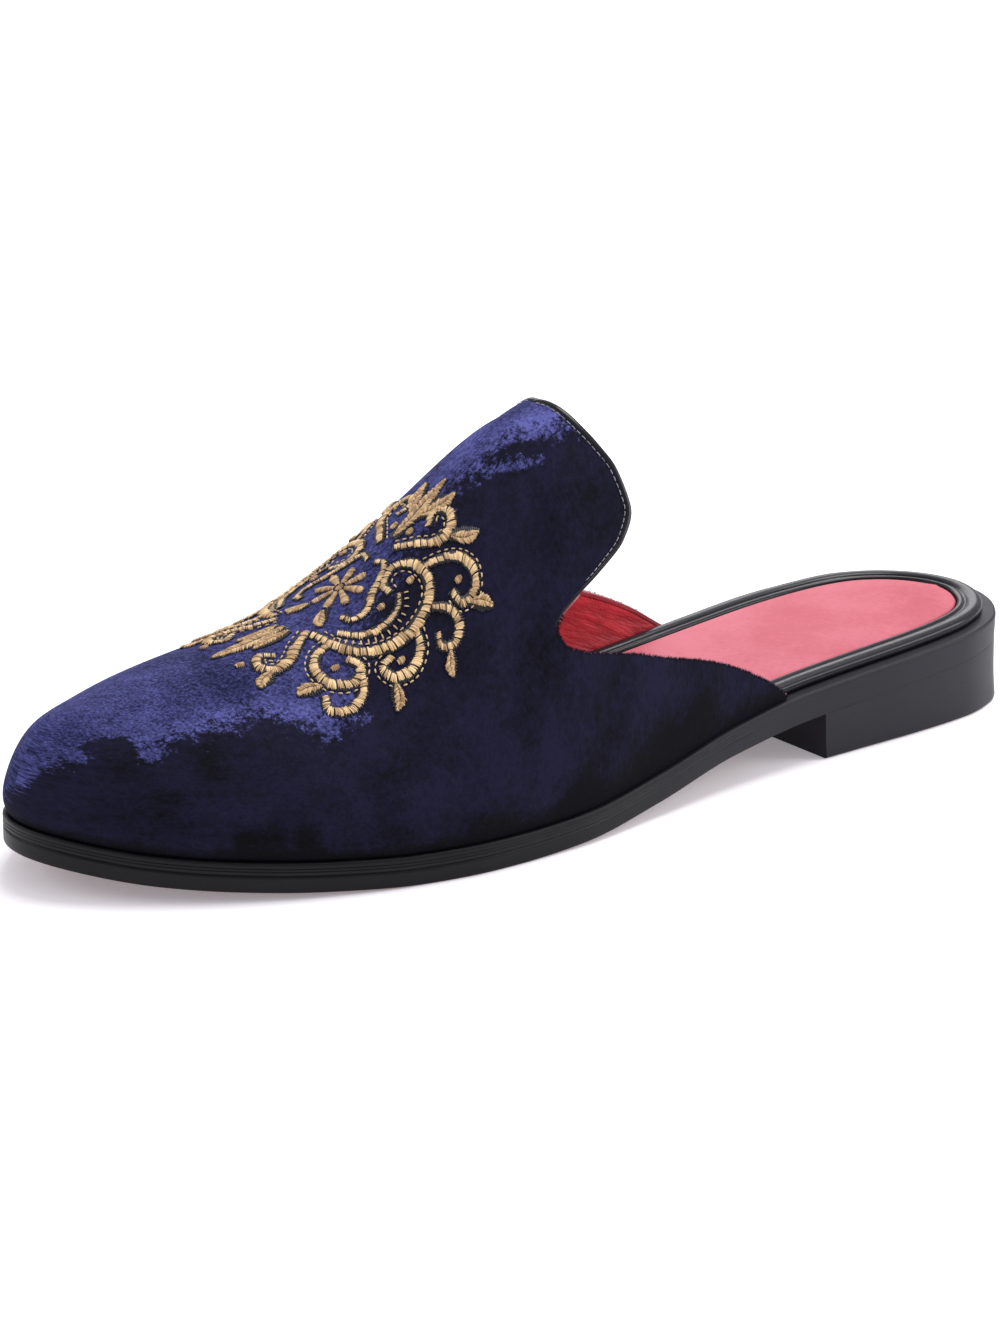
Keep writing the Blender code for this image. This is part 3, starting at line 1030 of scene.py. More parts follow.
def make_welt(edge):
    """The welt, with two fine lines along its edge."""
    top = WELT_THICKNESS
    line = WELT_LINE_DEPTH
    section = [(0, 0, SEAM_DEPTH), (0, top * 0.09, SEAM_DEPTH * 0.25), (0, top * 0.15, 0)]
    for level in (0.34, 0.56):
        section += [(0, top * (level - 0.05), 0), (0, top * level, line), (0, top * (level + 0.05), 0)]
    section += upper_corner(EDGE_ROUND, top)
    bm = plate(section, lambda share, level: welt_bottom(share) + level, SOLE_ROWS, seam_shows)
    made = piece("welt_leather", bm, [edge])
    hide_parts("welt")


def make_heel(edge, tread):
    """The heel block: level 0 is the floor and level 1 is the outsole's underside."""
    section = [(HEEL_BEVEL * 0.9 - HEEL_FLARE, 0, 0), (HEEL_BEVEL * 0.25 - HEEL_FLARE, 0.02, 0)]
    section += [(-HEEL_FLARE, 0.05, 0)]
    for level in (0.15, 0.25, 0.35, 0.45, 0.55, 0.65, 0.75, 0.85, 0.93):
        lean = -HEEL_FLARE * (1 - level)
        section.append((lean + HEEL_HOLLOW * sin(pi * level) ** 1.5, level, 0))
    section.append((0, 1, 0))

    def height(share, level):
        return level * underside(share)

    share = HEEL_LENGTH / LENGTH
    bm = plate(section, height, HEEL_ROWS, None, place_of(share), LENGTH * (0.5 - share))
    for vert in bm.verts:
        vert.co.y += HEEL_RAKE * (1 - vert.co.z / HEEL_RISE)
    made = piece("heel_block", bm, [edge])
    paint_underside(made, tread)
    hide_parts("heel")


def rim_inset():
    """How far inside the sole's outline the rim of the footbed starts."""
    return WELT_LEDGE + UPPER_WALL + RIM_GAP


def make_footbed(leather):
    """The rolled rim, its groove and thin inner lip, and the sunk floor that the sock lies on."""
    edge = rim_inset()
    curve = smooth_line(RIM_SECTION, 44)
    section = [(edge + inset * RIM_WIDTH, level * RIM_THICKNESS, 0) for inset, level in curve]
    section.append((edge + RIM_WIDTH + RIM_FOOT, SOCK_LEVEL, 0))
    bm = plate(section, lambda share, level: welt_top(share) + level, FOOTBED_ROWS)
    made = piece("footbed_rim", bm, [leather], 60)
    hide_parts("insole")


def make_sock(leather):
    """The sock sheet, with a rounded edge and a slightly crowned middle."""
    edge = rim_inset() + RIM_WIDTH + SOCK_GAP
    section = [(edge, 0, 0), (edge, SOCK_THICKNESS * 0.4, 0)]
    for turn in np.linspace(0, pi / 2, 6):
        inset = edge + SOCK_EDGE_ROUND * (1 - cos(turn))
        section.append((inset, SOCK_THICKNESS * (0.4 + 0.6 * sin(turn)), 0))

    def height(share, level):
        return welt_top(share) + SOCK_LEVEL + level

    bm = plate(section, height, SOCK_ROWS, flat=SOCK_COLUMNS, crown=SOCK_CROWN)
    made = piece("sock_sheet", bm, [leather], 60)
    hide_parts("sock_lining")


def shell(columns, rows, reach, fields):
    """The upper's outer surface, as an open sheet from its free edge to the toe.

    reach(side, way) is how far the sheet goes beyond the free edge.
    """
    sides, ways = across(columns)
    _, _, off = topline_frame(sides, ways)
    extra = off * reach(sides, ways)[:, None]

    def outline_place(column, row):
        edge = edge_place(sides[column], ways[column])
        return edge + (1 - edge) * row / rows

    def place(column, row):
        point, _ = velvet_point(outline_place(column, row), sides[column], ways[column])
        return point + extra[column] * (row == 0)[:, None]

    def cloth(column, row):
        share = station(outline_place(column, row))
        return share * LENGTH, sides[column] * (1 - ways[column]) * SIDE_GIRTH

    def field_of(rule):
        def values(column, row, points):
            share = station(outline_place(column, row))
            return rule(share, sides[column], ways[column], points)
        return values

    made = {name: field_of(rule) for name, rule in fields.items()}
    return merge(grid(len(sides) - 1, rows, place, cloth, made))


def marks(table, share, girth):
    """Sum of a table's soft oval marks at places on the cloth."""
    total = 0 * share
    for at, place, length, width, turn, strength in table:
        along, over = distances(share, girth, at, place, turn)
        total = total + strength * np.exp(-(along / length) ** 2 - (over / width) ** 2)
    return total


def painted_sheen_reach_field(share, side, way, points):
    """How far a place lies inside the painted sheen of the nap, in shares of the girth."""
    inside = on_side(PAINTED_SHEEN_REACHES, share, side) - (1 - way)
    return inside + marks(SHEEN_STROKES, share, side * (1 - way))


def sheen_patches_field(share, side, way, points):
    """How much lighter or duller the painted sheen of the nap is."""
    return marks(SHEEN_PATCHES, share, side * (1 - way))


def shade_field(share, side, way, points):
    """Painted shade: how black the dark part of the nap is painted, most of all along the welt."""
    welt = WELT_SHADE * (1 - ease(way, 0, WELT_SHADE_ENDS))
    return welt + marks(PAINTED_SHADE_PATCHES, share, side * (1 - way))


def edge_field(share, side, way, points):
    """Distance from the end of the fold along the free edge."""
    sides, ways = across(EDGE_COLUMNS)
    edge, _, off = topline_frame(sides, ways)
    edge = edge + off * fold_reach(sides, ways)[:, None]
    away = [np.linalg.norm(edge - point, axis=1).min() for point in points]
    return np.array(away)


def fold_reach(side, way):
    """The velvet is turned over the edge of the quarters; round the tongue the binding takes over."""
    return FOLD_REACH * (1 - ease(way, *FOLD_FADES))


def lining_reach(side, way):
    """The lining peeks out past the velvet's fold, least in the middle of the quarters."""
    dip = PEEK_DIP * ease(way, *PEEK_DIP_STARTS) * (1 - ease(way, *PEEK_DIP_ENDS))
    return (FOLD_REACH + LINING_REACH * (1 - dip)) * (1 - ease(way, *FOLD_FADES))


def thicken(made, thickness, bevel):
    """Give a sheet its thickness, inwards, and round its free edge."""
    wall = made.modifiers.new("wall", 'SOLIDIFY')
    wall.thickness = thickness
    wall.offset = -1
    fold = made.modifiers.new("fold", 'BEVEL')
    fold.width = bevel
    fold.segments = 3
    fold.limit_method = 'ANGLE'
    fold.angle_limit = radians(60)


def make_velvet(velvet):
    """The velvet, from the welt over the ridge to the welt."""
    fields = {"glow": painted_sheen_reach_field, "lustre": sheen_patches_field, "shade": shade_field}
    bm = shell(VELVET_COLUMNS, UPPER_ROWS, fold_reach, fields)
    made = piece("velvet_upper", bm, [velvet], 0)
    thicken(made, VELVET_THICKNESS, VELVET_FOLD_ROUND)
    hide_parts("upper")


def make_lining(leather):
    """The red lining, just inside the velvet."""
    bm = shell(LINING_COLUMNS, UPPER_ROWS, lining_reach, {"edge": edge_field})
    bmesh.ops.recalc_face_normals(bm, faces=bm.faces)
    bm.normal_update()
    for vert in bm.verts:
        vert.co -= vert.normal * (VELVET_THICKNESS + LINING_GAP)
    made = piece("red_lining", bm, [leather], 0)
    thicken(made, LINING_THICKNESS, LINING_FOLD_ROUND)


def make_binding(leather):
    """The binding: a rounded leather strip round the tongue, which thins out at the throat."""
    sides, ways = across(BINDING_COLUMNS)
    keep = ways > BINDING_START
    sides = sides[keep]
    ways = ways[keep]
    point, normal, off = topline_frame(sides, ways)
    widening = (BINDING_WIDTH - BINDING_LEAST_WIDTH) * ease(ways, BINDING_START, BINDING_FULL)
    swelling = (BINDING_THICKNESS - BINDING_LEAST_THICKNESS) * ease(ways, BINDING_START, CORNER)
    width = BINDING_LEAST_WIDTH + widening
    thick = BINDING_LEAST_THICKNESS + swelling
    centre = point + off * (width / 2 - BINDING_OVERLAP)[:, None] - normal * (UPPER_WALL / 2)
    around = 20

    def place(column, row):
        turn = 2 * pi * column / around
        out = np.sign(np.cos(turn)) * np.abs(np.cos(turn)) ** 0.8 * width[row] / 2
        up = np.sign(np.sin(turn)) * np.abs(np.sin(turn)) ** 0.8 * thick[row] / 2
        return centre[row] + off[row] * out[:, None] + normal[row] * up[:, None]

    bm = merge(grid(around, len(ways) - 1, place))
    fill_ends(bm)
    made = piece("tongue_binding", bm, [leather], 60)
    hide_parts("topline_binding")


def make_quarter_edge(leather):
    """The thin raw edge of the lining, which shows past the velvet from the throat to the footbed."""
    sides, ways = across(EDGE_COLUMNS)
    keep = ways < CORNER + 0.01
    around = 8
    for name, side in (("outer_quarter_edge", OUTER), ("inner_quarter_edge", INNER)):
        chosen = keep & (sides == side)
        point, normal, off = topline_frame(sides[chosen], ways[chosen])
        centre = point + off * (FOLD_REACH + EDGE_CORD * 0.5)
        centre = centre - normal * (VELVET_THICKNESS + EDGE_CORD * 0.5)

        def place(column, row):
            turn = 2 * pi * column / around
            out = off[row] * np.cos(turn)[:, None] + normal[row] * np.sin(turn)[:, None]
            return centre[row] + out * EDGE_CORD

        bm = merge(grid(around, len(centre) - 1, place))
        fill_ends(bm)
        piece(name, bm, [leather], 60)


def strands(paths, ups, radii, tones, sides=4):
    """Closed tubes along many paths of as many points, pointed where their radius is nothing."""
    count, points = radii.shape
    along = unit(np.gradient(paths, axis=1))
    across_it = unit(np.cross(along, ups))
    over = np.cross(across_it, along)
    total = count * points
    paths, across_it, over = [each.reshape(total, 3) for each in (paths, across_it, over)]
    radius = radii.reshape(total)

    def place(column, row):
        turn = 2 * pi * (column + 0.5) / sides
        out = across_it[row] * np.cos(turn)[:, None] + over[row] * np.sin(turn)[:, None]
        return paths[row] + out * radius[row][:, None]

    def tone(column, row, points_there):
        return tones[row // points]

    def number(column, row, points_there):
        return row.astype(float)

    bm = grid(sides, total - 1, place, None, {"tone": tone, "number": number})
    layer = bm.verts.layers.float["number"]
    joins = []
    for face in bm.faces:
        numbers = [int(vert[layer]) for vert in face.verts]
        if min(numbers) // points != max(numbers) // points:
            joins.append(face)
    bmesh.ops.delete(bm, geom=joins, context='FACES_ONLY')
    bm.verts.layers.float.remove(layer)
    return merge(bm, 0.000001)


def make_tongue_stitches(thread):
    """A row of dashes on the velvet, just inside the binding."""
    ways = np.linspace(CORNER + 0.012, 1, 2000)
    paths = []
    ups = []
    for side in (OUTER, INNER):
        point, normal, off = topline_frame(side + 0 * ways, ways)
        row = point - off * STITCH_INSET + normal * STITCH_LIFT
        reach = reach_along(row)
        count = int(reach[-1] / STITCH_PITCH)
        for k in range(count):
            spots = (k + np.array(STITCH_POINTS)) * STITCH_PITCH
            paths.append(np.stack([np.interp(spots, reach, row[:, i]) for i in range(3)], axis=1))
            ups.append(np.stack([np.interp(spots, reach, normal[:, i]) for i in range(3)], axis=1))
    paths = np.array(paths) + np.array(ups) * np.array(STITCH_LIFTS)[None, :, None]
    radii = np.tile(np.array((0, 1, 1, 1, 0)) * STITCH_THREAD, (len(paths), 1))
    tones = np.random.default_rng(3).uniform(0.3, 1.0, len(paths))
    piece("tongue_stitches", strands(paths, np.array(ups), radii, tones, 6), [thread], 0)


def make_edge_fuzz(finish):
    """Short pile that stands past the turned edge of the quarters."""
    chance = np.random.default_rng(11)
    shares = np.array((0.0, 0.5, 1.0))
    paths = []
    ups = []
    for side in (OUTER, INNER):
        ways = np.sort(chance.uniform(0.01, CORNER, FUZZ_COUNT))
        point, normal, off = topline_frame(side + 0 * ways, ways)
        along = unit(np.cross(normal, off))
        depth = chance.uniform(0, FUZZ_DEPTH, (len(ways), 1))
        root = point + off * (FOLD_REACH * 0.8) - normal * depth
        lean = off + normal * chance.uniform(-0.3, 0.7, (len(ways), 1))
        lean = unit(lean + along * chance.uniform(-0.6, 0.6, (len(ways), 1)))
        hair = lean * chance.uniform(*FUZZ_LENGTHS, (len(ways), 1))
        paths.append(root[:, None] + hair[:, None] * shares[:, None])
        ups.append(np.repeat(along[:, None], len(shares), axis=1))
    paths = np.concatenate(paths)
    ups = np.concatenate(ups)
    radii = np.tile(np.array(FUZZ_RADII), (len(paths), 1))
    tones = np.ones(len(paths))
    piece("quarter_edge_fuzz", strands(paths, ups, radii, tones, 3), [finish], 0)


class Wrap:
    """Lays a flat design on the vamp: up the ridge from its middle, and round from the ridge."""

    def __init__(self):
        first, last = WRAP_STATIONS
        self.places = np.linspace(place_of(first), place_of(last), 160)
        ways = np.linspace(0, 1, 220)
        ridge = last_point(self.places, OUTER, 1 + 0 * self.places)
        reach = reach_along(ridge)
        middle = np.interp(place_of(DESIGN_STATION), self.places, reach)
        self.ridge_reach = middle - reach
        self.spots = np.linspace(0, WRAP_REACH, 120)
        self.ways = {}
        for side in (OUTER, INNER):
            q, way = np.meshgrid(self.places, ways[::-1], indexing="ij")
            rows = last_point(q, side, way)
            steps = np.linalg.norm(np.diff(rows, axis=1), axis=2)
            girth = np.concatenate((np.zeros((len(q), 1)), np.cumsum(steps, axis=1)), axis=1)
            table = [np.interp(self.spots, line, ways[::-1]) for line in girth]
            self.ways[side] = np.array(table)

    def at(self, up, around):
        """Points and normals on the velvet for places on the flat design, in metres."""
        q = np.interp(-up, -self.ridge_reach, self.places)
        side = np.where(around < 0, INNER, OUTER)
        i = np.clip((q - self.places[0]) / (self.places[1] - self.places[0]), 0, len(self.places) - 1.001)
        j = np.clip(np.abs(around) / self.spots[1], 0, len(self.spots) - 1.001)
        i0 = i.astype(int)
        j0 = j.astype(int)
        f = i - i0
        g = j - j0
        way = 0 * q
        for each in (OUTER, INNER):
            table = self.ways[each]
            low = table[i0, j0] * (1 - g) + table[i0, j0 + 1] * g
            high = table[i0 + 1, j0] * (1 - g) + table[i0 + 1, j0 + 1] * g
            way = np.where(side == each, low * (1 - f) + high * f, way)
        return velvet_point(q, side, way)


# Bands of the scrollwork, in millimetres up the ridge and out from it: half
# width at the start, middle and end, then the points of the centre line
BANDS = (
    ((0.8, 1.5, 1.1), ((4.5, 13), (5, 9.5), (9, 7.5), (13, 10), (14.5, 15.5), (12.5, 21), (6.5, 24.5),
                       (-1.5, 25.5), (-9.5, 22.5), (-14.5, 16), (-16.5, 8.5))),
    ((0.9, 1.3, 0.8), ((14, 3), (17.5, 7), (21.5, 11.5), (26.5, 12.5), (29.5, 8.5), (27, 4.5),
                       (23.5, 6.5))),
    ((0.8, 1.3, 0.9), ((15.5, 14.5), (20, 16.5), (24, 20), (25.5, 25), (22.5, 29.5), (18, 29), (17.5, 25))),
    ((0.8, 1.2, 0.7), ((11, 24.5), (14.5, 28), (15, 32.5), (11.5, 35.5), (7.5, 33.5), (8.5, 30.5))),
    ((0.9, 1.4, 0.8), ((4, 26), (2.5, 30.5), (-2, 33.5), (-7, 32.5), (-8.5, 28.5), (-5, 27.5))),
    ((0.9, 1.4, 1.0), ((-14, 14), (-19.5, 15), (-23, 19.5), (-22, 25), (-17, 27.5), (-13, 25),
                       (-14.5, 21))),
    ((0.8, 1.2, 0.8), ((-13.5, 26.5), (-16.5, 31.5), (-21.5, 33.5), (-26, 31), (-25, 27.5))),
    ((1.0, 1.4, 0.8), ((-17, 6.5), (-21.5, 9), (-26, 13), (-30.5, 14.5), (-33.5, 11), (-31, 7.5),
                       (-28, 9.5))),
    ((0.6, 1.0, 0.7), ((8.5, 1.5), (9.5, 4.5), (6.5, 7), (1.5, 9.5), (-3, 12.5), (-7, 12), (-8, 9))),
    ((0.7, 0.9, 0.6), ((-12, 12.5), (-8, 17.5), (-2, 19.5), (3.5, 18), (6, 15))),
)

# Leaves: foot of the midrib, its tip, half width and bend, in millimetres
SIDE_LEAVES = (
    ((24.0, 1.5), (34.0, 6.0), 1.9, 0.9),
    ((25.5, 14.0), (32.0, 19.0), 1.7, 1.0),
    ((20.5, 30.5), (25.5, 35.5), 1.5, -0.9),
    ((9.5, 36.0), (7.0, 41.5), 1.4, 0.6),
    ((-7.5, 33.5), (-10.5, 39.5), 1.5, -0.9),
    ((-24.0, 24.5), (-30.5, 24.0), 1.7, 0.9),
    ((-31.5, 14.5), (-37.0, 18.0), 1.5, 0.7),
    ((-19.5, 2.5), (-30.0, 3.6), 1.5, 0.6),
    ((-9.5, 3.0), (-13.5, 7.5), 1.5, 0.6),
)
MIDDLE_LEAVES = (
    ((16.5, 0.0), (36.0, 0.0), 2.2, 0.0),
    ((-19.0, 0.0), (-39.0, 0.0), 2.2, 0.0),
)

# Knots beside the ridge, and the blossom on it round one more knot, in millimetres
KNOTS = ((19.5, 3.2), (20.5, 24.0), (0.5, 14.6), (-18.5, 21.5), (-36.5, 8.0), (10.5, 14.5), (-3.5, 29.8))
KNOT_RADIUS = 1.1
BLOSSOM = (-2.0, 0.0)
PETALS = 8
PETAL_START = 1.6
PETAL_END = 7.2
PETAL_WIDTH = 1.7

# Painted shadow: the dark thread round the gold stands out this far, and its threads have this pitch, in
# millimetres
PAINTED_SHADOW = 0.55
PAINTED_SHADOW_PITCH = 0.55

# Bands with pale dashes on one side or the other, and the band with pale teeth
DASHED_OUTSIDE = (0, 5, 7)
DASHED_INSIDE = (1, 2, 4)
TOOTHED = 9

# Pale dashes and teeth, in millimetres: distance from the band, then length and gap or pitch
DASH_AWAY = 0.75
DASH = 1.2
DASH_GAP = 0.8
TOOTH_AWAY = 0.5
TOOTH = 1.6
TOOTH_PITCH = 1.5


def thread_count(length):
    """How many threads lie side by side on a length in millimetres."""
    return int(length / (THREAD_PITCH * 1000))


def spaced(line, pitch, least):
    """Places spread evenly along a line at about a pitch, and the directions along and left."""
    fine = smooth_line(line, 400)
    length = np.linalg.norm(np.diff(fine, axis=0), axis=1).sum()
    spots = smooth_line(line, max(int(length / pitch), least))
    along = unit(np.gradient(spots, axis=0))
    return spots, along, left_of(along)


def band_halves(widths, count):
    """Half widths of a band at evenly spread places along it."""
    return BAND_FULLNESS * np.interp(np.linspace(0, 1, count), np.linspace(0, 1, len(widths)), widths)


class Needlework:
    """Collects the threads of the embroidery, as places on the flat design with a lift."""

    def __init__(self, wrap):
        self.wrap = wrap
        self.chance = np.random.default_rng(7)
        self.places = []
        self.lifts = []
        self.radii = []
        self.tones = []

    def thread(self, start, end, lift, radius, tone=0.0):
        """One thread from start to end, in millimetres; it dives into the cloth at both ends."""
        start = np.array(start)
        end = np.array(end)
        self.places.append(start + (end - start) * np.array(THREAD_POINTS)[:, None])
        self.lifts.append(np.array(THREAD_LIFTS) * lift + radius * 0.4)
        self.radii.append(np.array(THREAD_RADII) * radius)
        self.tones.append(tone + self.chance.uniform(0, 0.6))

    def satin(self, line, widths, slant=0.25):
        """Threads across a band that follows a line, pulled together in small bundles."""
        spots, along, out = spaced(line, THREAD_PITCH * 1000, 4)
        count = len(spots)
        half = band_halves(widths, count)
        bundles = self.chance.uniform(0.74, 1.30, (count // BUNDLE + 1, 2))
        tones = self.chance.uniform(0.0, 0.45, count // BUNDLE + 1)
        for k in range(count):
            if k % BUNDLE == 0 and self.chance.uniform() < 0.70:
                continue
            left, right = half[k] * bundles[k // BUNDLE] * (1 + self.chance.normal(0, 0.09, 2))
            shift = along[k] * slant * half[k] + along[k] * self.chance.normal(0, 0.05)
            lift = BAND_HEIGHT * min(half[k] / 1.3, 1.15) * self.chance.uniform(0.80, 1.1)
            radius = THREAD * self.chance.uniform(0.85, 1.12)
            ends = spots[k] - out[k] * left - shift, spots[k] + out[k] * right + shift
            self.thread(*ends, lift, radius, tones[k // BUNDLE])

    def leaf(self, foot, tip, half, bend):
        """A leaf: threads from its midrib out to both edges, slanting towards the tip."""
        foot = np.array(foot, float)
        tip = np.array(tip, float)
        length = np.linalg.norm(tip - foot)
        ahead = (tip - foot) / length
        out = np.array((-ahead[1], ahead[0]))
        count = thread_count(length)
        for k in range(count):
            share = (k + 0.5) / count
            rib = foot + ahead * length * share + out * bend * sin(pi * share)
            reach = half * sin(pi * share ** 0.8) ** 0.75
            for way in (-1, 1):
                wide = reach * (1 + self.chance.normal(0, 0.13))
                end = rib + out * way * wide + ahead * (0.75 * wide)
                lift = BAND_HEIGHT * self.chance.uniform(0.75, 1.0)
                start = rib - out * way * 0.06
                self.thread(start, end, lift, THREAD * self.chance.uniform(0.85, 1.1))

    def petal(self, turn):
        """One petal of the blossom, with its threads across."""
        ahead = np.array((cos(turn), sin(turn)))
        out = np.array((-ahead[1], ahead[0]))
        count = thread_count(PETAL_END - PETAL_START)
        for k in range(count):
            share = (k + 0.5) / count
            spot = np.array(BLOSSOM) + ahead * (PETAL_START + (PETAL_END - PETAL_START) * share)
            half = PETAL_WIDTH * (0.35 + 0.65 * share) * (1 - share ** 5) ** 0.5
            wide = half * (1 + self.chance.normal(0, 0.08, 2))
            self.thread(spot - out * wide[0], spot + out * wide[1], BAND_HEIGHT, THREAD)

    def knot(self, spot, radius):
        """A small round knob of parallel threads."""
        count = thread_count(2 * radius)
        for k in range(count):
            level = radius * (2 * (k + 0.5) / count - 1)
            half = (radius * radius - level * level) ** 0.5
            start = (spot[0] + level, spot[1] - half)
            end = (spot[0] + level, spot[1] + half)
            self.thread(start, end, BAND_HEIGHT * 1.2, THREAD)

    def painted_shadow_strip(self, line, widths):
        """Painted shadow: a low strip of dark thread that shows as a ragged edge round a band."""
        spots, _, out = spaced(line, PAINTED_SHADOW_PITCH, 4)
        for spot, way, half in zip(spots, out, band_halves(widths, len(spots))):
            left, right = half + PAINTED_SHADOW * self.chance.uniform(0.5, 1.3, 2)
            self.thread(spot - way * left, spot + way * right, PAINTED_SHADOW_LIFT, PAINTED_SHADOW_THREAD)

    def teeth(self, line, inset, length, pitch):
        """Short stitches square to a line, beside it."""
        spots, _, out = spaced(line, pitch, 2)
        for spot, way in zip(spots, out):
            far = length * self.chance.uniform(0.8, 1.2)
            self.thread(spot + way * inset, spot + way * (inset + far), FLAT_LIFT, THREAD)

    def running(self, line, dash, gap, radius):
        """Running stitches along a line."""
        fine = smooth_line(line, 400)
        reach = reach_along(fine)
        start = 0.0
        while start + dash < reach[-1]:
            ends = [[np.interp(at, reach, fine[:, k]) for k in (0, 1)] for at in (start, start + dash)]
            self.thread(ends[0], ends[1], FLAT_LIFT, radius)
            start += (dash + gap) * self.chance.uniform(0.92, 1.08)

    def mesh(self):
        """All threads as one bmesh, laid on the velvet."""
        places = np.array(self.places) / 1000
        up, around = places[..., 0], places[..., 1]
        points, normals = self.wrap.at(up.ravel(), around.ravel())
        points = points.reshape(*up.shape, 3)
        normals = normals.reshape(*up.shape, 3)
        paths = points + normals * np.array(self.lifts)[..., None]
        return strands(paths, normals, np.array(self.radii), np.array(self.tones), 5)


def beside(line, away):
    """A line moved sideways."""
    fine = smooth_line(line, 60)
    return fine + left_of(unit(np.gradient(fine, axis=0))) * away


def both_sides(line):
    """A line of the flat design and its mirror image."""
    return [np.array(line, float) * (1, way) for way in (1, -1)]


def all_leaves():
    """The leaves of both sides, then those of the middle."""
    leaves = []
    for foot, tip, half, bend in SIDE_LEAVES:
        for way in (1, -1):
            leaves.append(((foot[0], way * foot[1]), (tip[0], way * tip[1]), half, way * bend))
    return leaves + list(MIDDLE_LEAVES)


def make_embroidery(wrap, gold):
    """Satin stitch: scrolls, leaves, a blossom and knots, alike on both sides of the ridge."""
    work = Needlework(wrap)
    for widths, line in BANDS:
        for copy in both_sides(line):
            work.satin(copy, widths)
    for foot, tip, half, bend in all_leaves():
        work.leaf(foot, tip, half, bend)
    for k in range(PETALS):
        work.petal(2 * pi * (k + 0.5) / PETALS)
    work.knot(BLOSSOM, KNOT_RADIUS)
    for up, around in KNOTS:
        work.knot((up, around), KNOT_RADIUS)
        work.knot((up, -around), KNOT_RADIUS)
    piece("gold_embroidery", work.mesh(), [gold], 0)


def make_outlines(wrap, pale, dark):
    """Pale running stitches and teeth beside the large scrolls, and dark thread round all of them as
    painted shadow.
    """
    light = Needlework(wrap)
    shadow = Needlework(wrap)
    for k, (widths, line) in enumerate(BANDS):
        for way, copy in zip((1, -1), both_sides(line)):
            shadow.painted_shadow_strip(copy, widths)
            if k in DASHED_OUTSIDE:
                light.running(beside(copy, way * (widths[1] + DASH_AWAY)), DASH, DASH_GAP, THREAD)
            if k == TOOTHED:
                light.teeth(copy, way * (widths[1] + TOOTH_AWAY), way * TOOTH, TOOTH_PITCH)
            if k in DASHED_INSIDE:
                light.running(beside(copy, -way * (widths[1] + DASH_AWAY)), DASH, DASH_GAP, THREAD)
    for foot, tip, half, _ in all_leaves():
        shadow.painted_shadow_strip((foot, tip), (half * 0.6, half, half * 0.2))
    piece("pale_stitches", light.mesh(), [pale], 0)
    piece("shadow_stitches", shadow.mesh(), [dark], 0)


def make_shoe():
    edge = edge_finish()
    tread = underside_finish()
    black = black_leather_finish()
    make_outsole(edge, tread)
    make_welt(edge)
    make_heel(edge, tread)
    make_footbed(black)
    make_sock(sock_finish())
    make_velvet(velvet_finish())
    make_lining(lining_finish())
    make_binding(black)
    make_quarter_edge(raw_edge_finish())
    make_tongue_stitches(thread_finish("grey_thread", (0.09, 0.09, 0.10), (0.30, 0.30, 0.32)))
    make_edge_fuzz(fuzz_finish())
    wrap = Wrap()
    make_embroidery(wrap, thread_finish("gold_thread", (0.29, 0.155, 0.060), (0.92, 0.665, 0.350)))
    pale = thread_finish("pale_thread", (0.48, 0.33, 0.17), (0.74, 0.58, 0.36))
    # Near-black thread for the painted shadow round the gold
    dark = thread_finish("shadow_thread", (0.004, 0.003, 0.005), (0.014, 0.009, 0.009))
    make_outlines(wrap, pale, dark)


# Half the floor's side and the place that the ceiling light shines from, in metres
FLOOR_SIZE = 40
CEILING_PLACE = (-0.12, 0.35, 1.0)


def make_floor():
    """A large flat floor under the shoe."""
    bm = bmesh.new()
    bmesh.ops.create_grid(bm, x_segments=1, y_segments=1, size=FLOOR_SIZE)
    mesh = mesh_of("floor", bm)
    mesh.materials.append(floor_finish())
    floor = add_object("floor", mesh)


def aim(made, place, target):
    """Turn a light so that it looks from a place at a target."""
    made.rotation_euler = (Vector(target) - Vector(place)).to_track_quat('-Z', 'Y').to_euler()


def make_light(name, place, target, size, power):
    """A soft white oblong light that looks at a target."""
    lamp = bpy.data.lights.new(name, 'AREA')
    lamp.shape = 'RECTANGLE'
    lamp.size, lamp.size_y = size
    lamp.energy = power
    made = add_object(name, lamp)
    made.location = place
    aim(made, place, target)


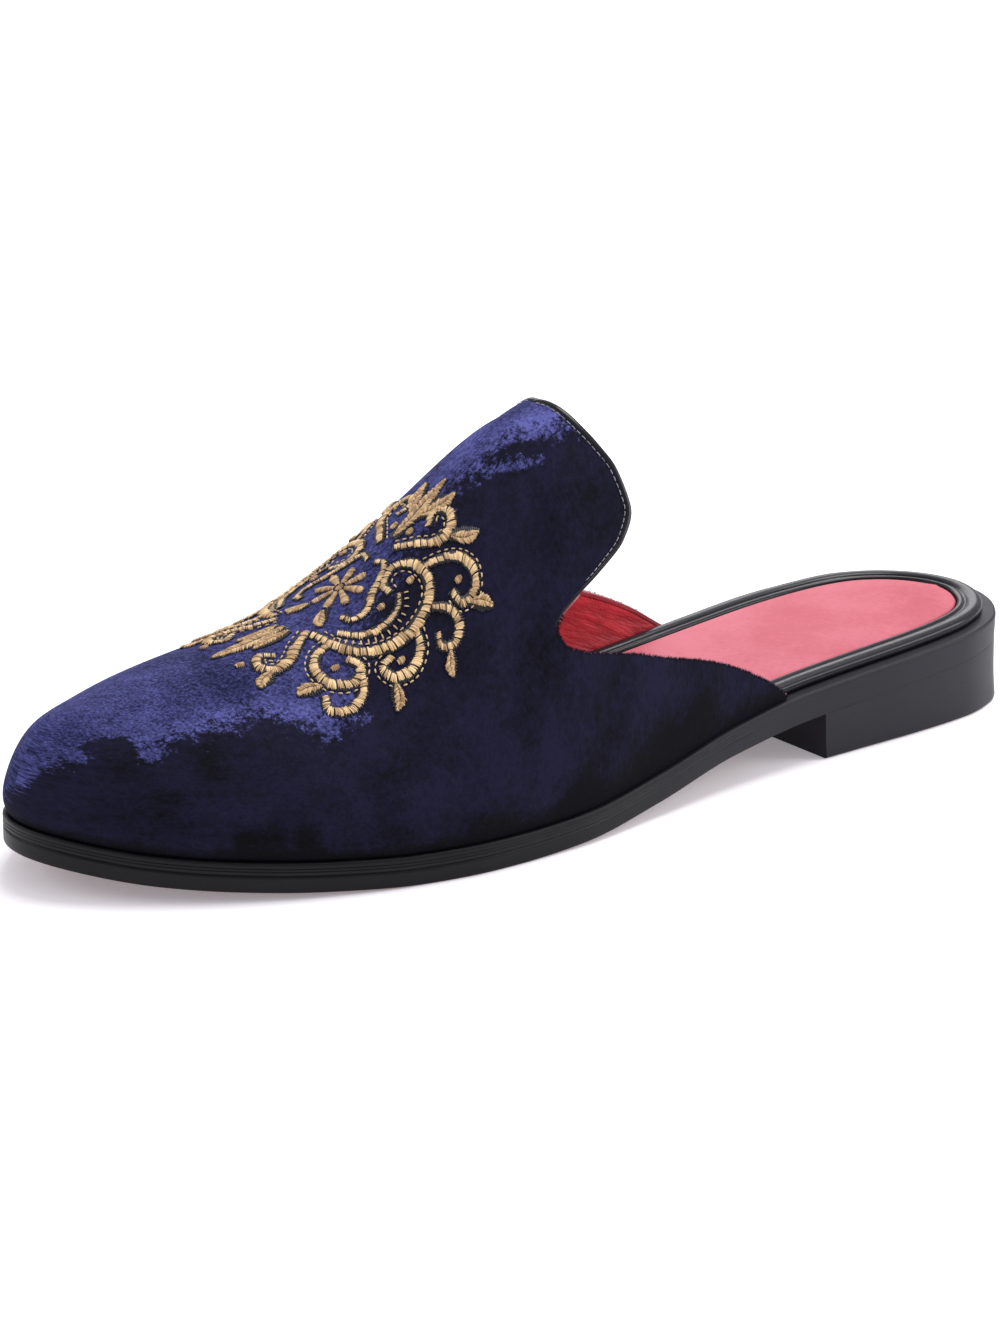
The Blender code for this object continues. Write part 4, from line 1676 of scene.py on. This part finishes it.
def make_lights():
    """An even sky, a soft light from above and behind, and three weak lights round the shoe."""
    world = bpy.data.worlds.new("studio")
    bpy.context.scene.world = world
    world.use_nodes = True
    sky = world.node_tree.nodes["Background"]
    sky.inputs["Color"].default_value = (0.975, 0.955, 1.05, 1)
    sky.inputs["Strength"].default_value = 0.62
    middle = (0, 0, 0.04)
    lamp = bpy.data.lights.new("ceiling", 'SUN')
    lamp.energy = 2.3
    lamp.color = (1.0, 1.0, 0.97)
    lamp.angle = radians(32)
    made = add_object("ceiling", lamp)
    aim(made, CEILING_PLACE, middle)
    make_light("toe_side", (-0.55, -1.10, 0.75), middle, (0.8, 0.5), 3)
    make_light("heel_side", (0.45, 0.85, 0.45), (0, 0.14, 0.02), (0.5, 0.4), 4)
    make_light("back_side", (-0.75, 0.55, 0.40), (0, 0.08, 0.03), (0.7, 0.25), 2)


# Camera, fitted to the photograph's 1000 by 1333 pixels
IMAGE_HEIGHT = 1333
IMAGE_MIDDLE = (500, 666.5)
VIEW_AZIMUTH = 53.0
VIEW_ELEVATION = 17.79
VIEW_ROLL = 1.27
VIEW_DISTANCE = 0.8211
VIEW_AIM = (-0.0532, 0.0331, 0)
VIEW_AXIS = (520.34, 690.42)
VIEW_FOCUS = 2970
SENSOR = 36


def make_camera():
    """The camera of the photograph, with its roll and its off-centre axis."""
    azimuth, elevation, roll = [radians(angle) for angle in (VIEW_AZIMUTH, VIEW_ELEVATION, VIEW_ROLL)]
    back = Vector((sin(azimuth) * cos(elevation), -cos(azimuth) * cos(elevation), sin(elevation)))
    right = Vector((cos(azimuth), sin(azimuth), 0))
    up = back.cross(right)
    level = right * cos(roll) + up * sin(roll)
    upright = up * cos(roll) - right * sin(roll)
    camera = bpy.data.cameras.new("camera")
    made = add_object("camera", camera)
    place = back * VIEW_DISTANCE + Vector(VIEW_AIM) + Vector((MIDDLE, 0, 0))
    turn = Matrix((level, upright, back)).transposed().to_4x4()
    made.matrix_world = Matrix.Translation(place) @ turn
    camera.sensor_width = SENSOR
    camera.lens = VIEW_FOCUS / IMAGE_HEIGHT * SENSOR
    camera.shift_x = (IMAGE_MIDDLE[0] - VIEW_AXIS[0]) / IMAGE_HEIGHT
    camera.shift_y = (VIEW_AXIS[1] - IMAGE_MIDDLE[1]) / IMAGE_HEIGHT
    camera.clip_start = 0.01
    bpy.context.scene.camera = made


def write_sizes():
    """Bring the scene up to date."""
    bpy.context.view_layer.update()


make_shoe()
make_floor()
make_lights()
make_camera()
bpy.context.scene.view_settings.view_transform = 'Standard'
write_sizes()
